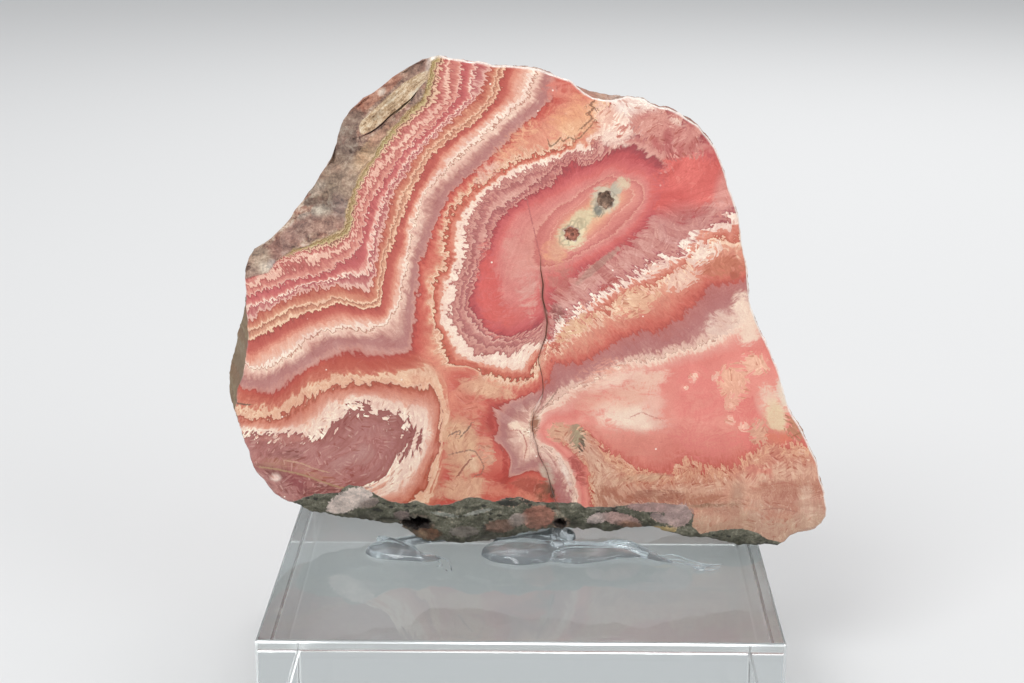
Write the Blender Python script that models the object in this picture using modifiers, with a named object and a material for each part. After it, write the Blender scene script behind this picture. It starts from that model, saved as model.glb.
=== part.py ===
"""Polished rhodochrosite slice glued upright on a clear acrylic display block.

Frame: origin at the centre of the block's underside, +Z up, the polished face looks along -Y.
Lengths in the tables are millimetres, heights in them are measured from the block's top.
"""
import math

import bmesh
import bpy
from mathutils import Matrix, Vector, noise
from mathutils.bvhtree import BVHTree

for leftover in list(bpy.data.objects):
    bpy.data.objects.remove(leftover, do_unlink=True)

# ---- driving dimensions -------------------------------------------------------------------------
MM = 0.001
BLOCK_WIDTH = 100.0
BLOCK_DEPTH = 100.0
BLOCK_HEIGHT = 30.0
BLOCK_BEVEL = 0.5
SLICE_THICKNESS = 15.0
POLISHED_FACE_Y = 0.0
TOUCH_GAP = 0.3

RIM_SAMPLES = 210
BEVEL_INSET = 0.5
BEVEL_DROP = 0.6
FRONT_RINGS = 5
SIDE_RINGS = 4
SIDE_ROUGHNESS = 0.7
SIDE_LUMP = 6.0
RIND_LUMP = 5.0

# Edge of the slice seen square on: (x, height), clockwise from the top corner.
OUTLINE = (
    (-17, 103.5), (-14.5, 103), (-11.5, 102.5), (-8, 102.2), (-6, 101.5), (-2.5, 101.5), (2, 101),
    (4, 100.5), (5, 100), (7, 99.5), (8, 99), (9.5, 98.5), (11, 97), (13, 95.4), (15.5, 95),
    (17.8, 94.4), (19.5, 95.5), (21, 95.5), (23, 95), (24.5, 95), (26, 93.5), (29.5, 93), (31, 92),
    (33.5, 90.5), (35, 89.5), (37, 87), (38.5, 85), (39.5, 82.5), (40.5, 80), (41.5, 76.5),
    (42.5, 74), (43.5, 71), (44, 68.5), (44, 66.5), (44.5, 65), (45, 63), (45.5, 60.5), (46, 55.5),
    (46.5, 52), (47.5, 50), (48.5, 47.5), (50, 44.5), (51, 42.5), (52, 40), (53, 37.5), (53.5, 35),
    (54.5, 32.5), (55, 30.5), (56.5, 28), (57.5, 26.5), (59, 23.5), (60, 21.5), (61.5, 18.5),
    (62, 15.5), (63, 13), (63.5, 10), (64, 8), (63.5, 6.5), (62.5, 5), (61, 4), (58.5, 3.5),
    (56.5, 3), (55.5, 2), (55, 1), (53.5, 0.2), (48, 0.2), (45.5, 0.4), (40.5, 1.5), (34.5, 2),
    (27, 4.3), (24, 4.3), (20, 3.2), (16, 3.5), (12, 3.5), (9, 4), (5.5, 4), (3.5, 3.5), (-0.5, 2.5),
    (-6.5, 1), (-9, 0.5), (-13.5, 0.2), (-18, 0.2), (-19.5, 0.4), (-22, 1), (-23.7, 2), (-24.6, 4),
    (-26, 4.6), (-30, 4.6), (-34, 5.3), (-36.5, 5.7), (-40.5, 6.5), (-44, 7.2), (-47, 8.5),
    (-48.5, 9), (-50.5, 10), (-52.5, 11.5), (-54, 13.5), (-55.5, 15.5), (-57, 17.5), (-57.5, 20.5),
    (-58.5, 23), (-59.3, 26.5), (-60, 29.5), (-59.6, 33), (-59, 35.5), (-57.7, 39), (-57.5, 41),
    (-57, 44.5), (-56.7, 48), (-57, 51), (-57, 58), (-57, 60), (-56, 62.5), (-52.5, 65),
    (-49.5, 68), (-47.5, 70), (-46.5, 72), (-44.5, 74), (-42.5, 77), (-41, 79.5), (-40, 80.8),
    (-39, 83), (-38, 85), (-37.5, 87.5), (-36.5, 90), (-35.5, 91.5), (-34.5, 92.5), (-32.5, 94.5),
    (-30.5, 95.5), (-28.5, 97), (-26.5, 98.7), (-24.5, 100), (-22.5, 101.2), (-20.5, 102.5),
    (-18.5, 103.2),
)

# How far the sawn back stands out beyond the front outline (negative: the rim slopes in).
BACK_STEPS = (
    (-17, 103.5, -3.2), (9.5, 98.5, -3.0), (13, 95.4, -0.9), (17.8, 94.4, -0.9), (21, 95.5, -3.0),
    (38.5, 85, -2.6), (44, 68.5, -1.5), (53.5, 35, -1.2), (64, 8, -1.0), (58.5, 3.5, -0.6),
    (53.5, 0.2, 0.0), (-24.6, 4, 0.0), (-50.5, 10, -0.6), (-57, 17.5, 0.2), (-58.5, 23, 3.0),
    (-60, 29.5, 3.2), (-57.5, 41, 4.0), (-56.7, 48, 2.6), (-57, 58, -0.6), (-44.5, 74, -2.2),
    (-36.5, 90, -3.0),
)

# Rough zones in front of the rim: first and last outline point, the edge of the polish from one to
# the other, how far the rough surface falls back at the outline and how lumpy it is.
RIND_ZONE = (
    (-57, 58), (-18.5, 103.2),
    ((-56.2, 58), (-52, 59.5), (-49.5, 62.5), (-47, 64), (-44, 65), (-41, 66.5), (-36.5, 68.5),
     (-36, 72.5), (-35, 75), (-34, 77.5), (-33, 80.5), (-30.5, 83), (-29, 85.5), (-27, 88.5),
     (-25, 90.5), (-23, 93), (-20.5, 94.5), (-19.5, 97.5), (-19, 99.5), (-18, 102.6)),
    3.6, 1.2,
)
MATRIX_ZONE = (
    (53.5, 0.2), (-48.5, 9),
    ((53, 1.6), (48.5, 2.3), (41.5, 3), (37.5, 2.7), (34, 3), (30, 4.2), (27, 6), (24.5, 7.5),
     (22.5, 8.5), (20.5, 9), (16, 9), (13, 9), (11, 10), (6.5, 10), (2.5, 10), (-0.5, 11),
     (-3, 11), (-6.5, 10), (-9.5, 11), (-11.5, 11), (-15, 9.5), (-19.5, 9), (-22.5, 10),
     (-25.5, 9.5), (-29.5, 10.5), (-31, 11.5), (-33.5, 13), (-36.5, 13.5), (-39, 12),
     (-41.5, 11.5), (-44, 11.5), (-48.2, 9.8)),
    1.1, 0.35,
)

# Wedge of beige host rock standing proud of the rind, and the crevice under it.
SPLINTER = (
    (-33.2, 87.3), (-33, 88.7), (-31.8, 90.2), (-29.5, 92), (-27, 94.6), (-24.5, 97.3), (-22, 99),
    (-19.2, 100.2), (-19.6, 98.3), (-21, 96.6), (-22.5, 95), (-25.5, 92.4), (-28.5, 90), (-31, 88.3),
)
SPLINTER_FRONT = 0.9
SPLINTER_TILT = 1.1
SPLINTER_ROOT = 6.0
CREVICE = ((-33.6, 86.7), (-31, 88), (-28.5, 89.7), (-25.5, 92.1), (-22.5, 94.7), (-20.8, 96.6))
CREVICE_WIDTH = 0.9
CREVICE_DEPTH = 4.2

# Crack across the face, followed downwards from the growth centre to the matrix.
CRACK = (
    (3.5, 63), (3.5, 60), (4, 57), (4, 53.5), (5, 51), (4.5, 45.5), (3, 41), (4, 36.5), (4, 34),
    (2, 30), (2, 23.5), (3.5, 19.5), (5.5, 15), (7, 10), (7.8, 7),
)
CRACK_WIDTH = 0.5
CRACK_DEPTH = 0.6

# Hollows: (x, height, half width, half height, depth, corners, seed of the uneven wall).
VUGS = (
    (16.5, 74.5, 1.7, 1.9, 4.5, 8, 3),
    (9.6, 67.6, 1.7, 1.6, 3.5, 7, 8),
)
NOTCHES = (
    (-22.3, 5.0, 3.0, 1.5, 6.5, 9, 5),
    (7.9, 5.2, 1.4, 1.2, 4.0, 6, 11),
)
VUG_FLOOR = 0.55

# Glue beads along the foot: (x, y, half width, height) on the block's top.
LEFT_BEAD = (
    (-32.6, 2.2, 0.5, 0.25), (-31.6, 1.4, 2.3, 1.1), (-29.0, -0.8, 3.6, 1.9), (-25.5, -3.0, 4.1, 2.1),
    (-22.0, -4.6, 3.4, 1.9), (-19.2, -6.2, 1.9, 1.3), (-17.4, -8.2, 0.9, 0.8), (-16.2, -10.4, 0.5, 0.5),
    (-15.0, -13.0, 0.3, 0.3), (-14.3, -15.0, 0.15, 0.15),
)
MAIN_BEAD = (
    (-7.8, -4.0, 0.6, 0.3), (-6.8, -4.0, 3.2, 1.2), (-4.0, -4.2, 5.6, 2.0), (0.0, -4.3, 6.6, 2.4),
    (4.5, -4.1, 6.4, 2.4), (8.0, -4.2, 4.9, 2.0), (10.0, -4.9, 4.6, 1.8), (13.0, -5.4, 4.6, 2.0),
    (16.0, -5.4, 3.2, 1.7), (18.5, -5.6, 1.7, 1.3), (23.0, -6.2, 1.2, 1.0), (28.0, -7.2, 1.0, 0.9),
    (32.0, -9.6, 1.0, 0.8), (35.0, -11.6, 1.2, 0.8), (38.0, -11.0, 0.8, 0.6), (41.5, -10.0, 0.3, 0.3),
)
BEAD_ARC_POINTS = 12
BEAD_STEPS_BETWEEN = 3
FACE_CLEARANCE = 0.9

# ---- finishes: colour, roughness, metallic ------------------------------------------------------
STONE_FINISH = ((0.72, 0.30, 0.25, 1.0), 0.28, 0.0)
ACRYLIC_FINISH = ((0.80, 0.93, 0.95, 1.0), 0.05, 0.0)
GLUE_FINISH = ((0.82, 0.92, 0.96, 1.0), 0.12, 0.0)


def named_collection(name):
    """Return a new collection linked under the scene."""
    group = bpy.data.collections.new(name)
    bpy.context.scene.collection.children.link(group)
    return group


PARTS = named_collection("rhodochrosite_slice_on_block")
CUTTERS = named_collection("cutters")


def finish_material(name, finish, see_through=0.0):
    """Return a Principled material for one node."""
    colour, roughness, metallic = finish
    material = bpy.data.materials.new(name)
    material.use_nodes = True
    shader = material.node_tree.nodes["Principled BSDF"]
    shader.inputs["Base Color"].default_value = colour
    shader.inputs["Roughness"].default_value = roughness
    shader.inputs["Metallic"].default_value = metallic
    shader.inputs["Transmission Weight"].default_value = see_through
    material.diffuse_color = colour
    return material


def mesh_object(name, points, faces, group, smooth=False):
    """Return an object from points in millimetres and faces, with its normals facing out."""
    mesh = bpy.data.meshes.new(name)
    mesh.from_pydata([tuple(c * MM for c in p) for p in points], [], faces)
    build = bmesh.new()
    build.from_mesh(mesh)
    bmesh.ops.recalc_face_normals(build, faces=build.faces)
    for face in build.faces:
        face.smooth = smooth
    build.to_mesh(mesh)
    build.free()
    obj = bpy.data.objects.new(name, mesh)
    group.objects.link(obj)
    if group is CUTTERS:
        obj.hide_render = True
        obj.display_type = "WIRE"
    return obj


def loft(name, rings, group, smooth=False):
    """Return a closed body through rings of equal length, with a flat cap at each end."""
    count = len(rings[0])
    points = [p for ring in rings for p in ring]
    faces = [tuple(range(count)), tuple(range(len(points) - count, len(points)))]
    for row in range(len(rings) - 1):
        for i in range(count):
            j = (i + 1) % count
            a = row * count
            b = a + count
            faces.append((a + i, a + j, b + j, b + i))
    return mesh_object(name, points, faces, group, smooth)


def triangulate(obj):
    """Split the object's faces into triangles, so that the next cut meets plain faces only."""
    build = bmesh.new()
    build.from_mesh(obj.data)
    bmesh.ops.triangulate(build, faces=build.faces)
    build.to_mesh(obj.data)
    build.free()


def boolean(target, cutter, operation):
    """Apply a Boolean of the cutter to the target for good."""
    modifier = target.modifiers.new(cutter.name, "BOOLEAN")
    modifier.operation = operation
    modifier.solver = "EXACT"
    modifier.object = cutter
    bpy.context.view_layer.update()
    evaluated = target.evaluated_get(bpy.context.evaluated_depsgraph_get())
    result = bpy.data.meshes.new_from_object(evaluated)
    target.modifiers.clear()
    target.data = result
    triangulate(target)


# ---- the slice ----------------------------------------------------------------------------------
def arc_lengths(points, closed):
    """Return the running length at each point, and the whole length."""
    ends = points[1:] + points[:1] if closed else points[1:]
    running = [0.0]
    for a, b in zip(points, ends):
        running.append(running[-1] + math.dist(a, b))
    return running


def point_at(points, running, distance):
    """Return the point at a distance along a polyline whose running lengths are known."""
    i = 0
    while i < len(running) - 2 and running[i + 1] < distance:
        i += 1
    part = (distance - running[i]) / max(running[i + 1] - running[i], 1e-9)
    a = points[i]
    b = points[(i + 1) % len(points)]
    return tuple(u + (v - u) * part for u, v in zip(a, b))


OUTLINE_RUN = arc_lengths(list(OUTLINE), closed=True)
OUTLINE_LENGTH = OUTLINE_RUN[-1]


def outline_distance(corner):
    """Return how far round the outline one of its corners lies."""
    nearest = min(range(len(OUTLINE)), key=lambda i: math.dist(OUTLINE[i], corner))
    return OUTLINE_RUN[nearest]


def back_step(distance):
    """Return the back's step at a distance round the outline, eased between the stations."""
    stations = sorted((outline_distance(s[:2]), s[2]) for s in BACK_STEPS)
    stations.append((stations[0][0] + OUTLINE_LENGTH, stations[0][1]))
    for (start, first), (end, last) in zip(stations, stations[1:]):
        if start <= distance <= end:
            part = (distance - start) / max(end - start, 1e-9)
            return first + (last - first) * part * part * (3.0 - 2.0 * part)
    return stations[-1][1]


def rough_zone(distance):
    """Return the limit point, drop and lumpiness if the distance lies in a rough zone."""
    for first, last, limit, drop, lump in (RIND_ZONE, MATRIX_ZONE):
        start = outline_distance(first)
        end = outline_distance(last)
        if start < distance < end:
            part = (distance - start) / (end - start)
            run = arc_lengths(list(limit), closed=False)
            fade = min(1.0, 8.0 * min(part, 1.0 - part))
            return point_at(list(limit), run, run[-1] * part), drop * fade, lump * fade
    return None


def lumps(x, y, z, size):
    """Return smooth noise between about -1 and 1, with lumps of the given size."""
    return noise.fractal(Vector((x / size, y / size, z / size)), 0.6, 2.1, 3)


def keep_off_block(point):
    """Lift a point that would touch the block's top."""
    x, y, z = point
    return (x, y, max(z, BLOCK_HEIGHT + TOUCH_GAP))


def rim_stations():
    """Return evenly spaced points round the outline with their outward directions."""
    corners = list(OUTLINE)
    spots = [i * OUTLINE_LENGTH / RIM_SAMPLES for i in range(RIM_SAMPLES)]
    rim = [point_at(corners, OUTLINE_RUN, s) for s in spots]
    stations = []
    for i, (x, h) in enumerate(rim):
        before = rim[i - 2]
        after = rim[(i + 2) % RIM_SAMPLES]
        along = Vector((after[0] - before[0], after[1] - before[1])).normalized()
        stations.append((spots[i], x, h, -along.y, along.x))
    return stations


def slice_rings():
    """Return the rings from the edge of the polish round the rim to the edge of the sawn back."""
    stations = rim_stations()
    rings = [[] for _ in range(FRONT_RINGS + SIDE_RINGS + 2)]
    for spot, x, h, out_x, out_h in stations:
        zone = rough_zone(spot)
        if zone:
            (edge_x, edge_h), drop, lump = zone
            drop = max(drop, BEVEL_DROP)
        else:
            edge_x = x - BEVEL_INSET * out_x
            edge_h = h - BEVEL_INSET * out_h
            drop, lump = BEVEL_DROP, 0.0
        level = BLOCK_HEIGHT
        rings[0].append((edge_x, POLISHED_FACE_Y, edge_h + level))
        for k in range(1, FRONT_RINGS + 1):
            part = k / FRONT_RINGS
            px = edge_x + (x - edge_x) * part
            ph = edge_h + (h - edge_h) * part
            wave = lump * lumps(px, 0.0, ph, RIND_LUMP) * math.sin(math.pi * min(part + 0.15, 1.0))
            fall = drop * part ** 1.4
            py = POLISHED_FACE_Y + max(fall + wave, 0.3 * fall)
            rings[k].append(keep_off_block((px, py, ph + level)))
        rim_y = rings[FRONT_RINGS][-1][1]
        step = back_step(spot)
        for k in range(1, SIDE_RINGS + 1):
            part = k / SIDE_RINGS
            y = rim_y + (SLICE_THICKNESS - BEVEL_DROP - rim_y) * part
            bulge = SIDE_ROUGHNESS * lumps(x, y, h, SIDE_LUMP) * (1.0 if part < 1.0 else 0.5)
            reach = step * part ** 1.3 + bulge
            rings[FRONT_RINGS + k].append(
                keep_off_block((x + reach * out_x, y, h + reach * out_h + level))
            )
        last = rings[FRONT_RINGS + SIDE_RINGS][-1]
        rings[-1].append((
            last[0] - BEVEL_INSET * out_x, SLICE_THICKNESS,
            max(last[2] - BEVEL_INSET * out_h, BLOCK_HEIGHT + TOUCH_GAP + 0.4),
        ))
    return rings


def hollow_cutter(name, spec, floor):
    """Return an uneven tapering plug, wider at the mouth, that cuts a hollow from the front."""
    x, h, half_w, half_h, depth, corners, seed = spec
    rings = []
    for y, scale in ((-1.0, 1.12), (0.25 * depth, 1.0), (0.75 * depth, 0.85), (depth, floor)):
        ring = []
        for i in range(corners):
            turn = 2.0 * math.pi * i / corners
            uneven = 1.0 + 0.14 * noise.noise(Vector((seed, 3.0 * i, y)))
            ring.append((
                x + half_w * scale * uneven * math.cos(turn), y,
                h + BLOCK_HEIGHT + half_h * scale * uneven * math.sin(turn),
            ))
        rings.append(ring)
    return loft(name, rings, CUTTERS)


def groove_cutter(name, path, width, depth):
    """Return a wedge along a path on the face, widest in front, tapering out at both ends."""
    rings = []
    last = len(path) - 1
    for i, (x, h) in enumerate(path):
        before = Vector(path[max(i - 1, 0)])
        after = Vector(path[min(i + 1, last)])
        along = (after - before).normalized()
        taper = 0.35 if i in (0, last) else 1.0
        half = 0.5 * width * taper * (1.0 + 0.5 / max(depth, 0.5))
        z = h + BLOCK_HEIGHT
        rings.append([
            (x - along.y * half, -0.5, z + along.x * half),
            (x + along.y * half, -0.5, z - along.x * half),
            (x, depth * taper, z),
        ])
    return loft(name, rings, CUTTERS)


def splinter_body():
    """Return the wedge of host rock, its front leaning back towards the rim."""
    low_x, low_h = SPLINTER[0]
    front = []
    root = []
    for x, h in SPLINTER:
        away = 0.7071 * ((h - low_h) - (x - low_x))
        front.append((x, SPLINTER_FRONT + SPLINTER_TILT * max(away, 0.0) * 0.5, h + BLOCK_HEIGHT))
        root.append((x, SPLINTER_ROOT, h + BLOCK_HEIGHT))
    return loft("splinter", [front, root], CUTTERS)


def build_slice():
    """Build the stone: sawn slab, rough rim, splinter, hollows and crack."""
    stone = loft("rhodochrosite_slice", slice_rings(), PARTS)
    triangulate(stone)
    boolean(stone, splinter_body(), "UNION")
    boolean(stone, groove_cutter("crevice", CREVICE, CREVICE_WIDTH, CREVICE_DEPTH), "DIFFERENCE")
    boolean(stone, groove_cutter("crack", CRACK, CRACK_WIDTH, CRACK_DEPTH), "DIFFERENCE")
    for i, spec in enumerate(VUGS):
        boolean(stone, hollow_cutter(f"vug_{i + 1}", spec, VUG_FLOOR), "DIFFERENCE")
    for i, spec in enumerate(NOTCHES):
        boolean(stone, hollow_cutter(f"notch_{i + 1}", spec, VUG_FLOOR), "DIFFERENCE")
    stone.data.materials.clear()
    stone.data.materials.append(finish_material("rhodochrosite", STONE_FINISH))
    return stone


# ---- the block ----------------------------------------------------------------------------------
def build_block():
    """Build the clear block with its edges broken by a small bevel."""
    bpy.ops.mesh.primitive_cube_add(size=MM, location=(0.0, 0.0, BLOCK_HEIGHT * MM / 2.0))
    block = bpy.context.active_object
    block.name = "acrylic_block"
    block.data.name = "acrylic_block"
    for group in list(block.users_collection):
        group.objects.unlink(block)
    PARTS.objects.link(block)
    block.data.transform(Matrix.Diagonal((BLOCK_WIDTH, BLOCK_DEPTH, BLOCK_HEIGHT, 1.0)))
    edge = block.modifiers.new("edge", "BEVEL")
    edge.width = BLOCK_BEVEL * MM
    edge.segments = 2
    block.data.materials.append(finish_material("clear_acrylic", ACRYLIC_FINISH, 1.0))
    return block


# ---- the glue beads -----------------------------------------------------------------------------
def eased(stations):
    """Return the stations with smooth ones added between each pair."""
    count = len(stations)
    fine = []
    for i in range(count - 1):
        p0 = stations[max(i - 1, 0)]
        p1 = stations[i]
        p2 = stations[i + 1]
        p3 = stations[min(i + 2, count - 1)]
        for k in range(BEAD_STEPS_BETWEEN):
            t = k / BEAD_STEPS_BETWEEN
            fine.append(tuple(
                0.5 * (2 * b + (c - a) * t + (2 * a - 5 * b + 4 * c - d) * t * t
                       + (3 * b - a - 3 * c + d) * t ** 3)
                for a, b, c, d in zip(p0, p1, p2, p3)
            ))
    fine.append(stations[-1])
    return fine


def build_bead(name, stations, stone_tree, material):
    """Build one bead: a low dome that runs along a path and stays clear of the stone."""
    base = BLOCK_HEIGHT + TOUCH_GAP
    path = eased(stations)
    rings = []
    for i, (x, y, half, height) in enumerate(path):
        before = Vector(path[max(i - 1, 0)][:2])
        after = Vector(path[min(i + 1, len(path) - 1)][:2])
        along = (after - before).normalized()
        if along.x < 0.8:
            along = (along + Vector((1.2, 0.0))).normalized()
        ring = []
        for k in range(BEAD_ARC_POINTS + 1):
            turn = math.pi * k / BEAD_ARC_POINTS
            side = half * math.cos(turn)
            px = x - along.y * side
            py = y + along.x * side
            rise = max(height, 0.12) * math.sin(turn) ** 0.75
            ring.append((px, py, base + min(rise, bead_room(stone_tree, px, py))))
        rings.append(ring)
    bead = loft(name, rings, PARTS, smooth=True)
    bead.data.materials.append(material)
    return bead


def bead_room(stone_tree, x, y):
    """Return the height free for glue at a spot: under the stone it ends just short of it."""
    room = 99.0
    for dx, dy in ((0, 0), (FACE_CLEARANCE, 0), (-FACE_CLEARANCE, 0), (0, FACE_CLEARANCE)):
        start = Vector(((x + dx) * MM, (y + dy) * MM, (BLOCK_HEIGHT + 0.05) * MM))
        hit = stone_tree.ray_cast(start, Vector((0.0, 0.0, 1.0)))
        if hit[0]:
            room = min(room, hit[0].z / MM - BLOCK_HEIGHT - 2.0 * TOUCH_GAP)
    return max(room, 0.02)


def main():
    """Build every node."""
    stone = build_slice()
    build_block()
    tree = BVHTree.FromObject(stone, bpy.context.evaluated_depsgraph_get())
    glue = finish_material("clear_glue", GLUE_FINISH, 1.0)
    build_bead("glue_bead_left", LEFT_BEAD, tree, glue)
    build_bead("glue_bead_main", MAIN_BEAD, tree, glue)


main()
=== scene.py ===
"""Looks of a polished rhodochrosite slice glued upright on a clear acrylic block.

The CAD frame gives the sizes. This script dresses it: the stone gets its growth bands, teeth,
bladed crystals, host rock and rim, the glue its strings and the block its clear acrylic.
Lengths in the tables are millimetres; (x, h) is a spot on the face, h measured from the block's top.
"""
import logging  # noqa: E402
import math  # noqa: E402
from dataclasses import dataclass  # noqa: E402
from enum import Enum  # noqa: E402
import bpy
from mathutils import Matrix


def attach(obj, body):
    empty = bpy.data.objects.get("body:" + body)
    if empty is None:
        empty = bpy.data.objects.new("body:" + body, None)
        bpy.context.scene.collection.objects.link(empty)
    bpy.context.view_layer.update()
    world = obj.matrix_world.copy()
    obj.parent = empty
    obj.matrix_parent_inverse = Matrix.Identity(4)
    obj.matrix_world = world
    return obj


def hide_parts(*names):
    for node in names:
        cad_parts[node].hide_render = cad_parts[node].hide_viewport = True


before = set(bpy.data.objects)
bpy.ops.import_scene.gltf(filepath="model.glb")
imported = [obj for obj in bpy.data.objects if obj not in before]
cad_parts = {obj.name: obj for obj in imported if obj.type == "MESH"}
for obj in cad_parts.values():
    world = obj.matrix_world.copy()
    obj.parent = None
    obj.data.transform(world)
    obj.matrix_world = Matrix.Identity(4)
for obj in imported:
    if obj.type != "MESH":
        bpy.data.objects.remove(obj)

from types import SimpleNamespace  # noqa: E402
from typing import Any, ClassVar, Iterable, Mapping, Sequence  # noqa: E402

import bmesh  # noqa: E402
import bpy  # noqa: E402
import numpy as np  # noqa: E402
from mathutils import Matrix, Vector, geometry, noise  # noqa: E402
from mathutils.bvhtree import BVHTree  # noqa: E402

LOG = logging.getLogger("rhodochrosite")
MM = 0.001
BLOCK_TOP = 30.0
TINY = 1e-9
FAR = 4.0  # mm, past which a distance to an edge or a line no longer counts
SEAM_REACH = 9.0  # mm, past which a spot takes no seam's colour
SLIVER = 1e-4  # mm2, under which a triangle is flat
HOLLOW_FLOOR = 7.0  # mm, deeper than any hollow
WELD = 2e-6  # m, under which two points are one
IN_PLANE = 3e-6  # m, within which a point counts as in a plane
FACE_GUARD = 2e-5  # m, how far the relief stays behind the polished face

# A spot (x, h) and a path or ring of spots; values by level; colours by level; a station of a run of
# glue: x, y, half width and height; a thread of glue: radius, and x, y and height of its points.
Spot = tuple[float, float]
Path = tuple[Spot, ...]
Curve = tuple[tuple[float, float], ...]
Layers = tuple[tuple[float, str], ...]
Station = tuple[float, float, float, float]
Thread = tuple[float, tuple[tuple[float, float, float], ...]]


class Slot(Enum):
    """Material slots of the record."""

    STONE = "rhodochrosite"
    ACRYLIC = "clear_acrylic"
    GLUE = "clear_glue"


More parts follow.
